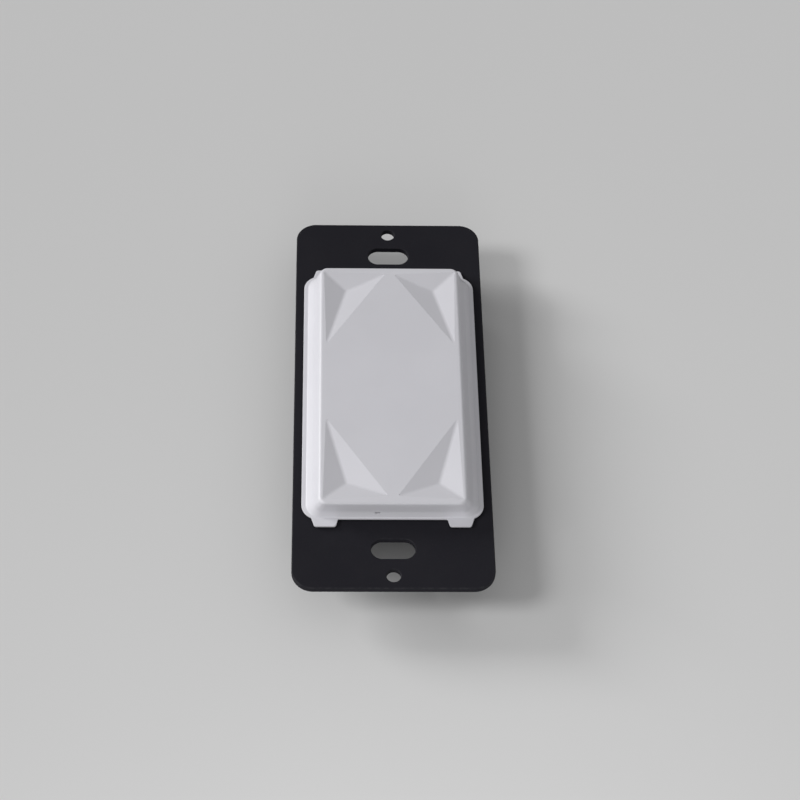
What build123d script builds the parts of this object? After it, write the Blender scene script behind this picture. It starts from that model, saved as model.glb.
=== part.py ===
from build123d import *
import os

os.makedirs("parts", exist_ok=True)

# Mounting plate: a flat strap whose holes follow the wall-box and cover-plate standard
PLATE_WIDTH = 44.45
PLATE_LENGTH = 103.4
PLATE_THICKNESS = 1.5
PLATE_CORNER = 4.8
PLATE_EDGE_BREAK = 0.25
COVER_HOLE_SPACING = 96.84
COVER_HOLE_DIAMETER = 3.2
BOX_SLOT_SPACING = 83.34
BOX_SLOT_LENGTH = 9.8
BOX_SLOT_WIDTH = 5.0
WINDOW_WIDTH = 27.0
WINDOW_LENGTH = 50.0
WINDOW_CORNER = 2.0

# Touch cover: a thin moulding with a faceted face, sloping walls and a rim that floats over the plate
COVER_HEIGHT = 5.5
COVER_WALL = 1.2
PRESS_TRAVEL = 0.3
STOP_CLEARANCE = 0.05
FACE_WIDTH = 32.6
FACE_LENGTH = 67.0
FACE_CORNER = 1.8
FACE_EDGE_BREAK = 0.4
FLARE_RISE = 2.3
FLARE_WIDTH = 35.7
FLARE_LENGTH = 67.1
FLARE_CORNER = 3.0
SKIRT_WIDTH = 38.4
SKIRT_LENGTH = 68.2
SKIRT_CORNER = 4.0
RIM_WIDTH = 40.4
RIM_LENGTH = 68.9
RIM_CORNER = 4.4
RIM_THICKNESS = 0.5

# Feet: tapered tabs in the plane of the rim, near its corners
FOOT_INNER = 12.1
FOOT_OUTER = 18.4
FOOT_REACH = 1.95
FOOT_INNER_TAPER = 0.5
FOOT_OUTER_TAPER = 1.1
FOOT_TIP_RADIUS = 0.6
FOOT_ROOT = 1.5

# Corner facets: each is a shallow three-sided recess in the face
FACET_CORNER_X = 15.5
FACET_CORNER_Y = 32.2
FACET_MIDDLE_X = 1.1
FACET_MIDDLE_Y = 31.4
FACET_SIDE_X = 14.9
FACET_SIDE_Y = 10.4
FACET_LOW_X = 10.3
FACET_LOW_Y = 27.3
FACET_DEPTH = 1.35

# Underside of the cover: press pads, ribs and snap hooks
PAD_DIAMETER = 5.0
PAD_CLEARANCE = 0.02
RIB_THICKNESS = 0.8
RIB_DEPTH = 0.9
LONG_RIB_X = 6.0
LONG_RIB_LENGTH = 40.0
CROSS_RIB_SPACING = 8.0
CROSS_RIB_LENGTH = 28.0
JOIN_DEPTH = 0.1
HOOK_X = 10.6
HOOK_Y = 11.5
HOOK_THICKNESS = 1.2
HOOK_WIDTH = 6.0
HOOK_BARB = 0.7
HOOK_BARB_HEIGHT = 1.0
HOOK_LEAD = 0.4
HOOK_CLEARANCE = 0.05
HOOK_SLOT_CLEARANCE = 0.15

# Indicator slit in the lower end wall, with a light pipe behind it
SLIT_X = -3.4
SLIT_WIDTH = 1.3
SLIT_HEIGHT = 0.45
SLIT_RISE = 2.0
PIPE_WIDTH = 1.8
PIPE_DEPTH = 1.4
PIPE_CLEARANCE = 0.05
PIPE_HOLE_CLEARANCE = 0.35
PIPE_RECESS = 0.25
LED_GAP = 0.7

# Deck: the inner moulding that fills the plate's window
DECK_CLEARANCE = 0.15
DECK_WALL = 1.2
DECK_FLANGE_CLEARANCE = 0.2
DECK_FLANGE_THICKNESS = 1.0
DECK_SWITCH_CLEARANCE = 0.3

# Circuit board and its parts
BOARD_WIDTH = 30.0
BOARD_LENGTH = 49.0
BOARD_THICKNESS = 1.0
BOARD_CORNER = 1.0
BOARD_DROP = 1.4
BOARD_HOLE_DIAMETER = 2.2
BOARD_HOLE_INSET = 2.4
LED_LENGTH = 1.6
LED_WIDTH = 0.8
LED_HEIGHT = 0.6
LED_CHAMFER = 0.12
LED_Y = -20.0
SHIELD_WIDTH = 10.0
SHIELD_LENGTH = 8.0
SHIELD_HEIGHT = 1.6
SHIELD_SHEET = 0.2
SHIELD_CORNER = 0.6
SHIELD_HOLE = 0.8
SHIELD_HOLE_SPACING = 2.5
SHIELD_HOLE_COUNT = 3
SHIELD_Y = 2.0
CHIP_SIZE = 5.0
CHIP_HEIGHT = 0.9
CRYSTAL_LENGTH = 3.2
CRYSTAL_WIDTH = 2.5
CRYSTAL_HEIGHT = 0.8
CRYSTAL_X = 8.2
CRYSTAL_CORNER = 0.25
CAPACITOR_LENGTH = 1.6
CAPACITOR_WIDTH = 0.8
CAPACITOR_SPACING = 2.0
CAPACITOR_COUNT = 4
CAPACITOR_X = -6.6
RESERVOIR_LENGTH = 3.5
RESERVOIR_WIDTH = 2.8
RESERVOIR_HEIGHT = 1.4
RESERVOIR_X = 5.0
RESERVOIR_TAPER = 5.0
ANTENNA_LENGTH = 12.0
ANTENNA_DEPTH = 4.0
ANTENNA_STRIP = 0.8
ANTENNA_SHEET = 0.3
ANTENNA_RISE = 1.0
ANTENNA_GAP_X = 3.0
ANTENNA_Y = 20.1

# Tactile switches
SWITCH_SIZE = 6.0
SWITCH_CORNER = 0.6
SWITCH_BASE_HEIGHT = 3.1
SWITCH_FRAME_SHEET = 0.4
SWITCH_HEIGHT = 7.0
SWITCH_Y = 14.0
SWITCH_POCKET_DIAMETER = 4.4
SWITCH_POCKET_DEPTH = 1.2
PLUNGER_DIAMETER = 3.4
PLUNGER_FLANGE_DIAMETER = 4.2
PLUNGER_FLANGE_HEIGHT = 0.5
PLUNGER_CLEARANCE = 0.08
PLUNGER_LIFT = 0.05
PLUNGER_CHAMFER = 0.34
DOME_DIAMETER = 4.0
DOME_CROWN_DIAMETER = 1.6
DOME_SHEET = 0.1

# Coin cell, its holder and contacts
CELL_DIAMETER = 20.0
CELL_THICKNESS = 3.2
CELL_CAN_STEP = 0.4
CELL_CAP_DIAMETER = 17.6
CELL_EDGE_BREAK = 0.3
CELL_CLEARANCE = 0.2
HOLDER_WALL = 1.4
HOLDER_BASE = 0.6
HOLDER_RIM_DROP = 0.3
CONTACT_SHEET = 0.3
CONTACT_WIDTH = 5.0
CONTACT_PAD_DIAMETER = 8.0

# Rear housing and the battery door
HOUSING_WIDTH = 38.0
HOUSING_LENGTH = 66.0
HOUSING_CORNER = 4.0
HOUSING_EDGE_BREAK = 0.6
HOUSING_WALL = 1.8
HOUSING_FLOOR = 1.8
HOUSING_HEADROOM = 0.5
HOUSING_END_POCKET = 22.0
CAVITY_MARGIN = 0.5
LEDGE_DEPTH = 1.0
LEDGE_WIDTH = 1.2
LEDGE_SPACING = 12.0
LEDGE_COUNT = 4
POST_DIAMETER = 4.2
DOOR_CLEARANCE = 0.1
DOOR_LIP = 1.0
DOOR_SHEET = 1.0
DOOR_CORNER = 2.0
DOOR_EAR = 5.0
GRIP_COUNT = 4
GRIP_SPACING = 1.5
GRIP_WIDTH = 0.6
GRIP_LENGTH = 10.0
GRIP_DEPTH = 0.3
GRIP_Y = -5.8

# Screws
HOUSING_SCREW_X = 15.0
HOUSING_SCREW_Y = 29.0
HOUSING_SCREW_DIAMETER = 2.5
HOUSING_SCREW_HEAD = 4.6
HOUSING_SCREW_HEAD_HEIGHT = 1.5
HEAD_SINK = 0.3
SMALL_SCREW_DIAMETER = 1.9
SMALL_SCREW_HEAD = 3.4
SMALL_SCREW_HEAD_HEIGHT = 1.0
SMALL_SCREW_LENGTH = 4.0
SUNK_HEAD_HEIGHT = 0.8
SCREW_CLEARANCE = 0.05
HEAD_CLEARANCE = 0.2
DRIVE_WIDTH = 0.5
DRIVE_DEPTH = 0.5
SMALL_DRIVE_LENGTH = 2.0
LARGE_DRIVE_LENGTH = 2.8

# Hidden rounds and screw heads are drawn with straight sides
HIDDEN_SIDES = 16
HEAD_SIDES = 32

# Levels above the back of the plate
plate_front = PLATE_THICKNESS
rim_bottom = plate_front + PRESS_TRAVEL + STOP_CLEARANCE
rim_top = rim_bottom + RIM_THICKNESS
flare_level = plate_front + FLARE_RISE
cover_top = plate_front + COVER_HEIGHT
ceiling = cover_top - COVER_WALL
deck_panel_bottom = plate_front - DECK_WALL
board_top = -(DECK_FLANGE_THICKNESS + BOARD_DROP)
board_bottom = board_top - BOARD_THICKNESS
switch_base_top = board_top + SWITCH_BASE_HEIGHT
switch_pocket_floor = switch_base_top - SWITCH_POCKET_DEPTH
plunger_top = board_top + SWITCH_HEIGHT
plunger_flange_top = switch_base_top - PLUNGER_LIFT
plunger_flange_bottom = plunger_flange_top - PLUNGER_FLANGE_HEIGHT
pad_bottom = plunger_top + PAD_CLEARANCE
slit_level = plate_front + SLIT_RISE
holder_floor = board_bottom - HOLDER_BASE
cell_front = holder_floor - CONTACT_SHEET
cell_rear = cell_front - CELL_THICKNESS
contact_rear = cell_rear - CONTACT_SHEET
floor_inside = contact_rear - HOUSING_HEADROOM
floor_outside = floor_inside - HOUSING_FLOOR
door_seat = floor_outside + DOOR_SHEET

# Shared half sizes and places
cavity_half_width = HOUSING_WIDTH / 2 - HOUSING_WALL
cavity_half_length = HOUSING_LENGTH / 2 - HOUSING_WALL
cavity_middle_length = BOARD_LENGTH + 2 * CAVITY_MARGIN
deck_window_width = WINDOW_WIDTH - 2 * DECK_CLEARANCE
deck_window_length = WINDOW_LENGTH - 2 * DECK_CLEARANCE
board_hole_x = BOARD_WIDTH / 2 - BOARD_HOLE_INSET
board_hole_y = BOARD_LENGTH / 2 - BOARD_HOLE_INSET
pocket_radius = CELL_DIAMETER / 2 + CELL_CLEARANCE
holder_size = 2 * (pocket_radius + HOLDER_WALL)
door_size = holder_size
door_screw_y = door_size / 2 + DOOR_EAR / 2
pipe_nose_y = -FACE_LENGTH / 2 + PIPE_RECESS


def wall_section(level, inset):
    """Width, length and corner radius of the cover's wall at a level, inset from its outer side."""
    skirt = (rim_top, SKIRT_WIDTH, SKIRT_LENGTH, SKIRT_CORNER)
    flare = (flare_level, FLARE_WIDTH, FLARE_LENGTH, FLARE_CORNER)
    face = (cover_top, FACE_WIDTH, FACE_LENGTH, FACE_CORNER)
    low, high = (skirt, flare) if level <= flare_level else (flare, face)
    share = (level - low[0]) / (high[0] - low[0])
    width, length, corner = [start + share * (end - start) for start, end in zip(low[1:], high[1:])]
    return width - 2 * inset, length - 2 * inset, max(corner - inset, 0.5)


# Mounting plate
with BuildPart() as mounting_plate:
    with BuildSketch(Plane.XY) as plate_outline:
        RectangleRounded(PLATE_WIDTH, PLATE_LENGTH, PLATE_CORNER)
    extrude(amount=PLATE_THICKNESS)
    chamfer(mounting_plate.faces().sort_by(Axis.Z)[-1].edges(), PLATE_EDGE_BREAK)
    with BuildSketch(Plane.XY) as plate_cuts:
        RectangleRounded(WINDOW_WIDTH, WINDOW_LENGTH, WINDOW_CORNER)
        with GridLocations(0, COVER_HOLE_SPACING, 1, 2):
            Circle(COVER_HOLE_DIAMETER / 2)
        with GridLocations(0, BOX_SLOT_SPACING, 1, 2):
            SlotOverall(BOX_SLOT_LENGTH, BOX_SLOT_WIDTH)
        with GridLocations(2 * HOUSING_SCREW_X, 2 * HOUSING_SCREW_Y, 2, 2):
            RegularPolygon(HOUSING_SCREW_DIAMETER / 2 + SCREW_CLEARANCE, HIDDEN_SIDES)
    extrude(amount=PLATE_THICKNESS, mode=Mode.SUBTRACT)
mounting_plate.part.label = "mounting_plate"
export_step(mounting_plate.part, "parts/mounting_plate.step")

# One corner recess of the face, then all four
with BuildPart() as facet_recess:
    with BuildSketch(Plane.XY.offset(cover_top)) as recess_mouth:
        with BuildLine():
            Polyline(
                (FACET_CORNER_X, FACET_CORNER_Y),
                (FACET_MIDDLE_X, FACET_MIDDLE_Y),
                (FACET_SIDE_X, FACET_SIDE_Y),
                close=True,
            )
        make_face()
    loft([recess_mouth.sketch, Vertex(FACET_LOW_X, FACET_LOW_Y, cover_top - FACET_DEPTH)])
    mirror(about=Plane.YZ)
    mirror(about=Plane.XZ)

# The space under the cover follows the facets, so the wall keeps its thickness
with BuildPart() as cover_space:
    with BuildSketch(Plane.XY.offset(rim_bottom)):
        RectangleRounded(*wall_section(rim_bottom, COVER_WALL))
    with BuildSketch(Plane.XY.offset(flare_level)):
        RectangleRounded(*wall_section(flare_level, COVER_WALL))
    with BuildSketch(Plane.XY.offset(ceiling)):
        RectangleRounded(*wall_section(ceiling, COVER_WALL))
    loft(ruled=True)
    with Locations((0, 0, -COVER_WALL)):
        add(facet_recess.part, mode=Mode.SUBTRACT)

# Touch cover
with BuildPart() as touch_cover:
    with BuildSketch(Plane.XY.offset(rim_bottom)) as rim_outline:
        RectangleRounded(RIM_WIDTH, RIM_LENGTH, RIM_CORNER)
    extrude(amount=RIM_THICKNESS)
    with BuildSketch(Plane.XY.offset(rim_top)):
        RectangleRounded(*wall_section(rim_top, 0))
    with BuildSketch(Plane.XY.offset(flare_level)):
        RectangleRounded(*wall_section(flare_level, 0))
    with BuildSketch(Plane.XY.offset(cover_top - FACE_EDGE_BREAK)):
        RectangleRounded(*wall_section(cover_top - FACE_EDGE_BREAK, 0))
    with BuildSketch(Plane.XY.offset(cover_top)):
        RectangleRounded(*wall_section(cover_top, FACE_EDGE_BREAK))
    loft(ruled=True)
    with BuildSketch(Plane.XY.offset(rim_bottom)) as feet_outline:
        with BuildLine():
            Polyline(
                (FOOT_INNER, -RIM_LENGTH / 2 + FOOT_ROOT),
                (FOOT_INNER, -RIM_LENGTH / 2),
                (FOOT_INNER + FOOT_INNER_TAPER, -RIM_LENGTH / 2 - FOOT_REACH),
                (FOOT_OUTER - FOOT_OUTER_TAPER, -RIM_LENGTH / 2 - FOOT_REACH),
                (FOOT_OUTER, -RIM_LENGTH / 2 + FOOT_ROOT),
                close=True,
            )
        make_face()
        fillet(feet_outline.vertices().group_by(Axis.Y)[0], FOOT_TIP_RADIUS)
        mirror(about=Plane.YZ)
        mirror(about=Plane.XZ)
    extrude(amount=RIM_THICKNESS)
    add(facet_recess.part, mode=Mode.SUBTRACT)
    add(cover_space.part, mode=Mode.SUBTRACT)
    with BuildSketch(Plane.XY.offset(pad_bottom)):
        with GridLocations(0, 2 * SWITCH_Y, 1, 2):
            RegularPolygon(PAD_DIAMETER / 2, HIDDEN_SIDES)
    extrude(amount=ceiling - pad_bottom + JOIN_DEPTH)
    with BuildSketch(Plane.XY.offset(ceiling - RIB_DEPTH)):
        with GridLocations(2 * LONG_RIB_X, 0, 2, 1):
            Rectangle(RIB_THICKNESS, LONG_RIB_LENGTH)
        with GridLocations(0, CROSS_RIB_SPACING, 1, 2):
            Rectangle(CROSS_RIB_LENGTH, RIB_THICKNESS)
    extrude(amount=RIB_DEPTH + JOIN_DEPTH)
    hook_inside = HOOK_X - HOOK_THICKNESS / 2
    hook_outside = HOOK_X + HOOK_THICKNESS / 2
    barb_top = deck_panel_bottom - HOOK_CLEARANCE
    for hook_y in (-HOOK_Y, HOOK_Y):
        with BuildSketch(Plane.XZ.offset(hook_y)):
            with BuildLine():
                Polyline(
                    (hook_inside, ceiling + JOIN_DEPTH),
                    (hook_outside, ceiling + JOIN_DEPTH),
                    (hook_outside, barb_top),
                    (hook_outside + HOOK_BARB, barb_top),
                    (hook_outside + HOOK_BARB, barb_top - HOOK_LEAD),
                    (hook_outside, barb_top - HOOK_BARB_HEIGHT),
                    (hook_inside, barb_top - HOOK_BARB_HEIGHT),
                    close=True,
                )
            make_face()
            mirror(about=Plane.YZ)
        extrude(amount=HOOK_WIDTH / 2, both=True)
    with BuildSketch(Plane.XZ.offset(FACE_LENGTH / 2 - 2 * COVER_WALL)):
        with Locations((SLIT_X, slit_level)):
            SlotOverall(SLIT_WIDTH, SLIT_HEIGHT)
    extrude(amount=4 * COVER_WALL, mode=Mode.SUBTRACT)
touch_cover.part.label = "touch_cover"
export_step(touch_cover.part, "parts/touch_cover.step")

# Indicator slit's light pipe: a nose in the end wall, a bar over the plate and a leg down to the lamp
with BuildPart() as light_pipe:
    pipe_wall_y = -wall_section(slit_level + PIPE_DEPTH / 2, COVER_WALL)[1] / 2 + PIPE_CLEARANCE
    pipe_bottom = slit_level - PIPE_DEPTH / 2
    with BuildSketch(Plane.XZ.offset(-pipe_wall_y)):
        with Locations((SLIT_X, slit_level)):
            SlotOverall(SLIT_WIDTH - 2 * PIPE_CLEARANCE, SLIT_HEIGHT - 2 * PIPE_CLEARANCE)
    extrude(amount=pipe_wall_y - pipe_nose_y)
    with BuildSketch(Plane.XY.offset(pipe_bottom)):
        with Locations((SLIT_X, pipe_wall_y)):
            Rectangle(PIPE_WIDTH, LED_Y + PIPE_WIDTH / 2 - pipe_wall_y, align=(Align.CENTER, Align.MIN))
    extrude(amount=PIPE_DEPTH)
    with BuildSketch(Plane.XY.offset(pipe_bottom)):
        with Locations((SLIT_X, LED_Y)):
            Rectangle(PIPE_WIDTH, PIPE_WIDTH)
    extrude(amount=board_top + LED_HEIGHT + LED_GAP - pipe_bottom)
    chamfer(light_pipe.edges().filter_by(Axis.X).group_by(Axis.Z)[-1].sort_by(Axis.Y)[-1], PIPE_DEPTH / 2)
light_pipe.part.label = "light_pipe"
export_step(light_pipe.part, "parts/light_pipe.step")

# Deck: a hat-shaped moulding, its panel in the plate's window and its flange behind the plate
with BuildPart() as deck:
    with BuildSketch(Plane.XY.offset(-DECK_FLANGE_THICKNESS)):
        Rectangle(2 * (cavity_half_width - DECK_FLANGE_CLEARANCE), BOARD_LENGTH)
    extrude(amount=DECK_FLANGE_THICKNESS)
    with BuildSketch(Plane.XY):
        RectangleRounded(deck_window_width, min(deck_window_length, BOARD_LENGTH), WINDOW_CORNER)
    extrude(amount=plate_front)
    with BuildSketch(Plane.XY.offset(-DECK_FLANGE_THICKNESS)):
        RectangleRounded(
            deck_window_width - 2 * DECK_WALL,
            min(deck_window_length, BOARD_LENGTH) - 2 * DECK_WALL,
            WINDOW_CORNER / 2,
        )
    extrude(amount=DECK_FLANGE_THICKNESS + deck_panel_bottom, mode=Mode.SUBTRACT)
    with BuildSketch(Plane.XY.offset(deck_panel_bottom)):
        with GridLocations(0, 2 * SWITCH_Y, 1, 2):
            Rectangle(SWITCH_SIZE + 2 * DECK_SWITCH_CLEARANCE, SWITCH_SIZE + 2 * DECK_SWITCH_CLEARANCE)
        with GridLocations(2 * HOOK_X, 2 * HOOK_Y, 2, 2):
            Rectangle(HOOK_THICKNESS + 2 * HOOK_SLOT_CLEARANCE, HOOK_WIDTH + 2 * HOOK_SLOT_CLEARANCE)
        with Locations((SLIT_X, LED_Y)):
            Rectangle(PIPE_WIDTH + 2 * PIPE_HOLE_CLEARANCE, PIPE_WIDTH + 2 * PIPE_HOLE_CLEARANCE)
    extrude(amount=DECK_WALL, mode=Mode.SUBTRACT)
deck.part.label = "deck"
export_step(deck.part, "parts/deck.step")

# Circuit board
with BuildPart() as circuit_board:
    with BuildSketch(Plane.XY.offset(board_bottom)):
        RectangleRounded(BOARD_WIDTH, BOARD_LENGTH, BOARD_CORNER)
        with GridLocations(2 * board_hole_x, 2 * board_hole_y, 2, 2):
            RegularPolygon(BOARD_HOLE_DIAMETER / 2, HIDDEN_SIDES, mode=Mode.SUBTRACT)
    extrude(amount=BOARD_THICKNESS)
circuit_board.part.label = "circuit_board"
export_step(circuit_board.part, "parts/circuit_board.step")

# Tactile switches: moulded base, pressed frame, snap dome and plunger
for end, switch_y in (("lower", -SWITCH_Y), ("upper", SWITCH_Y)):
    with BuildPart() as switch_base:
        with BuildSketch(Plane.XY.offset(board_top)):
            with Locations((0, switch_y)):
                RectangleRounded(SWITCH_SIZE, SWITCH_SIZE, SWITCH_CORNER)
        extrude(amount=SWITCH_BASE_HEIGHT)
        with BuildSketch(Plane.XY.offset(switch_pocket_floor)):
            with Locations((0, switch_y)):
                RegularPolygon(SWITCH_POCKET_DIAMETER / 2, HIDDEN_SIDES)
        extrude(amount=SWITCH_POCKET_DEPTH, mode=Mode.SUBTRACT)
    switch_base.part.label = f"switch_base_{end}"
    export_step(switch_base.part, f"parts/switch_base_{end}.step")

    with BuildPart() as switch_frame:
        with BuildSketch(Plane.XY.offset(switch_base_top)):
            with Locations((0, switch_y)):
                RectangleRounded(SWITCH_SIZE, SWITCH_SIZE, SWITCH_CORNER)
                RegularPolygon(PLUNGER_DIAMETER / 2 + PLUNGER_CLEARANCE, HIDDEN_SIDES, mode=Mode.SUBTRACT)
        extrude(amount=SWITCH_FRAME_SHEET)
    switch_frame.part.label = f"switch_frame_{end}"
    export_step(switch_frame.part, f"parts/switch_frame_{end}.step")

    with BuildPart() as switch_dome:
        dome_rise = plunger_flange_bottom - PLUNGER_LIFT - DOME_SHEET - switch_pocket_floor
        dome_levels = (switch_pocket_floor, switch_pocket_floor + DOME_SHEET)
        for level in dome_levels:
            with BuildSketch(Plane.XY.offset(level)):
                with Locations((0, switch_y)):
                    RegularPolygon(DOME_DIAMETER / 2, HIDDEN_SIDES)
        with BuildSketch(Plane.XY.offset(switch_pocket_floor + dome_rise + DOME_SHEET)):
            with Locations((0, switch_y)):
                RegularPolygon(DOME_CROWN_DIAMETER / 2, HIDDEN_SIDES)
        loft(ruled=True)
        with BuildSketch(Plane.XY.offset(switch_pocket_floor)):
            with Locations((0, switch_y)):
                RegularPolygon(DOME_DIAMETER / 2, HIDDEN_SIDES)
        with BuildSketch(Plane.XY.offset(switch_pocket_floor + dome_rise)):
            with Locations((0, switch_y)):
                RegularPolygon(DOME_CROWN_DIAMETER / 2, HIDDEN_SIDES)
        loft(ruled=True, mode=Mode.SUBTRACT)
    switch_dome.part.label = f"switch_dome_{end}"
    export_step(switch_dome.part, f"parts/switch_dome_{end}.step")

    with BuildPart() as plunger:
        with BuildSketch(Plane.XY.offset(plunger_flange_bottom)):
            with Locations((0, switch_y)):
                RegularPolygon(PLUNGER_FLANGE_DIAMETER / 2, HIDDEN_SIDES)
        extrude(amount=PLUNGER_FLANGE_HEIGHT)
        with BuildSketch(Plane.XY.offset(plunger_flange_top)):
            with Locations((0, switch_y)):
                Circle(PLUNGER_DIAMETER / 2)
        extrude(amount=plunger_top - plunger_flange_top)
        chamfer(plunger.faces().sort_by(Axis.Z)[-1].edges(), PLUNGER_CHAMFER)
    plunger.part.label = f"plunger_{end}"
    export_step(plunger.part, f"parts/plunger_{end}.step")

# Indicator lamp under the light pipe
with BuildPart() as indicator_lamp:
    with BuildSketch(Plane.XY.offset(board_top)):
        with Locations((SLIT_X, LED_Y)):
            Rectangle(LED_WIDTH, LED_LENGTH)
    extrude(amount=LED_HEIGHT)
    chamfer(indicator_lamp.faces().sort_by(Axis.Z)[-1].edges(), LED_CHAMFER)
indicator_lamp.part.label = "indicator_lamp"
export_step(indicator_lamp.part, "parts/indicator_lamp.step")

# Radio shield: a pressed can, open towards the board, with a row of vent holes
with BuildPart() as radio_shield:
    with BuildSketch(Plane.XY.offset(board_top)):
        with Locations((0, SHIELD_Y)):
            RectangleRounded(SHIELD_WIDTH, SHIELD_LENGTH, SHIELD_CORNER)
    extrude(amount=SHIELD_HEIGHT)
    with BuildSketch(Plane.XY.offset(board_top)):
        with Locations((0, SHIELD_Y)):
            RectangleRounded(
                SHIELD_WIDTH - 2 * SHIELD_SHEET,
                SHIELD_LENGTH - 2 * SHIELD_SHEET,
                SHIELD_CORNER - SHIELD_SHEET,
            )
    extrude(amount=SHIELD_HEIGHT - SHIELD_SHEET, mode=Mode.SUBTRACT)
    with BuildSketch(Plane.XY.offset(board_top + SHIELD_HEIGHT - SHIELD_SHEET)):
        with Locations((0, SHIELD_Y)):
            with GridLocations(SHIELD_HOLE_SPACING, 0, SHIELD_HOLE_COUNT, 1):
                Rectangle(SHIELD_HOLE, SHIELD_HOLE)
    extrude(amount=SHIELD_SHEET, mode=Mode.SUBTRACT)
radio_shield.part.label = "radio_shield"
export_step(radio_shield.part, "parts/radio_shield.step")

# Radio chip under the shield
with BuildPart() as radio_chip:
    with BuildSketch(Plane.XY.offset(board_top)):
        with Locations((0, SHIELD_Y)):
            Rectangle(CHIP_SIZE, CHIP_SIZE)
    extrude(amount=CHIP_HEIGHT)
radio_chip.part.label = "radio_chip"
export_step(radio_chip.part, "parts/radio_chip.step")

# Crystal beside the shield
with BuildPart() as crystal:
    with BuildSketch(Plane.XY.offset(board_top)):
        with Locations((CRYSTAL_X, SHIELD_Y)):
            RectangleRounded(CRYSTAL_WIDTH, CRYSTAL_LENGTH, CRYSTAL_CORNER)
    extrude(amount=CRYSTAL_HEIGHT)
crystal.part.label = "crystal"
export_step(crystal.part, "parts/crystal.step")

# Ceramic capacitors in a row
for number in range(CAPACITOR_COUNT):
    capacitor_y = SHIELD_Y + (number - (CAPACITOR_COUNT - 1) / 2) * CAPACITOR_SPACING
    with BuildPart() as capacitor:
        with BuildSketch(Plane.XY.offset(board_top)):
            with Locations((CAPACITOR_X, capacitor_y)):
                Rectangle(CAPACITOR_LENGTH, CAPACITOR_WIDTH)
        extrude(amount=CAPACITOR_WIDTH)
    capacitor.part.label = f"capacitor_{number + 1}"
    export_step(capacitor.part, f"parts/capacitor_{number + 1}.step")

# Reservoir capacitor
with BuildPart() as reservoir_capacitor:
    with BuildSketch(Plane.XY.offset(board_top)):
        with Locations((RESERVOIR_X, LED_Y)):
            Rectangle(RESERVOIR_LENGTH, RESERVOIR_WIDTH)
    extrude(amount=RESERVOIR_HEIGHT, taper=RESERVOIR_TAPER)
reservoir_capacitor.part.label = "reservoir_capacitor"
export_step(reservoir_capacitor.part, "parts/reservoir_capacitor.step")

# Antenna: a folded strip standing on two legs at the upper end of the board
with BuildPart() as antenna:
    with BuildSketch(Plane.XY.offset(board_top + ANTENNA_RISE - ANTENNA_SHEET)):
        with Locations((0, ANTENNA_Y)):
            Rectangle(ANTENNA_LENGTH, ANTENNA_DEPTH)
            Rectangle(
                ANTENNA_LENGTH - 2 * ANTENNA_STRIP,
                ANTENNA_DEPTH - 2 * ANTENNA_STRIP,
                mode=Mode.SUBTRACT,
            )
        with Locations((ANTENNA_GAP_X, ANTENNA_Y - ANTENNA_DEPTH / 2 + ANTENNA_STRIP / 2)):
            Rectangle(ANTENNA_STRIP, ANTENNA_STRIP, mode=Mode.SUBTRACT)
    extrude(amount=ANTENNA_SHEET)
    with BuildSketch(Plane.XY.offset(board_top)):
        with Locations((0, ANTENNA_Y)):
            with GridLocations(ANTENNA_LENGTH - ANTENNA_STRIP, 0, 2, 1):
                Rectangle(ANTENNA_STRIP, ANTENNA_STRIP)
    extrude(amount=ANTENNA_RISE)
antenna.part.label = "antenna"
export_step(antenna.part, "parts/antenna.step")

# Cell holder: a square frame with a round pocket, open to the rear
with BuildPart() as cell_holder:
    with BuildSketch(Plane.XY.offset(cell_rear + HOLDER_RIM_DROP)):
        RectangleRounded(holder_size, holder_size, HOLDER_WALL)
    extrude(amount=board_bottom - cell_rear - HOLDER_RIM_DROP)
    with BuildSketch(Plane.XY.offset(cell_rear + HOLDER_RIM_DROP)):
        RegularPolygon(pocket_radius, HEAD_SIDES)
    extrude(amount=holder_floor - cell_rear - HOLDER_RIM_DROP, mode=Mode.SUBTRACT)
    with BuildSketch(Plane.XY.offset(cell_rear + HOLDER_RIM_DROP)):
        with Locations((0, -holder_size / 2)):
            Rectangle(CONTACT_WIDTH + 2 * CELL_CLEARANCE, 2 * HOLDER_WALL + 2 * CELL_CLEARANCE)
    extrude(amount=board_bottom - cell_rear - HOLDER_RIM_DROP, mode=Mode.SUBTRACT)
cell_holder.part.label = "cell_holder"
export_step(cell_holder.part, "parts/cell_holder.step")

# Front contact: a round pad on the floor of the pocket
with BuildPart() as front_contact:
    with BuildSketch(Plane.XY.offset(cell_front)):
        RegularPolygon(CONTACT_PAD_DIAMETER / 2, HIDDEN_SIDES)
    extrude(amount=CONTACT_SHEET)
front_contact.part.label = "front_contact"
export_step(front_contact.part, "parts/front_contact.step")

# Rear contact: a strip across the cell, bent up to the board through the holder's notch
with BuildPart() as rear_contact:
    contact_outside = -pocket_radius - CONTACT_SHEET
    with BuildSketch(Plane.YZ) as contact_section:
        with BuildLine():
            Polyline(
                (CONTACT_PAD_DIAMETER / 2, contact_rear),
                (CONTACT_PAD_DIAMETER / 2, cell_rear),
                (-pocket_radius, cell_rear),
                (-pocket_radius, board_bottom),
                (contact_outside, board_bottom),
                (contact_outside, contact_rear),
                close=True,
            )
        make_face()
    extrude(amount=CONTACT_WIDTH / 2, both=True)
rear_contact.part.label = "rear_contact"
export_step(rear_contact.part, "parts/rear_contact.step")

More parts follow.
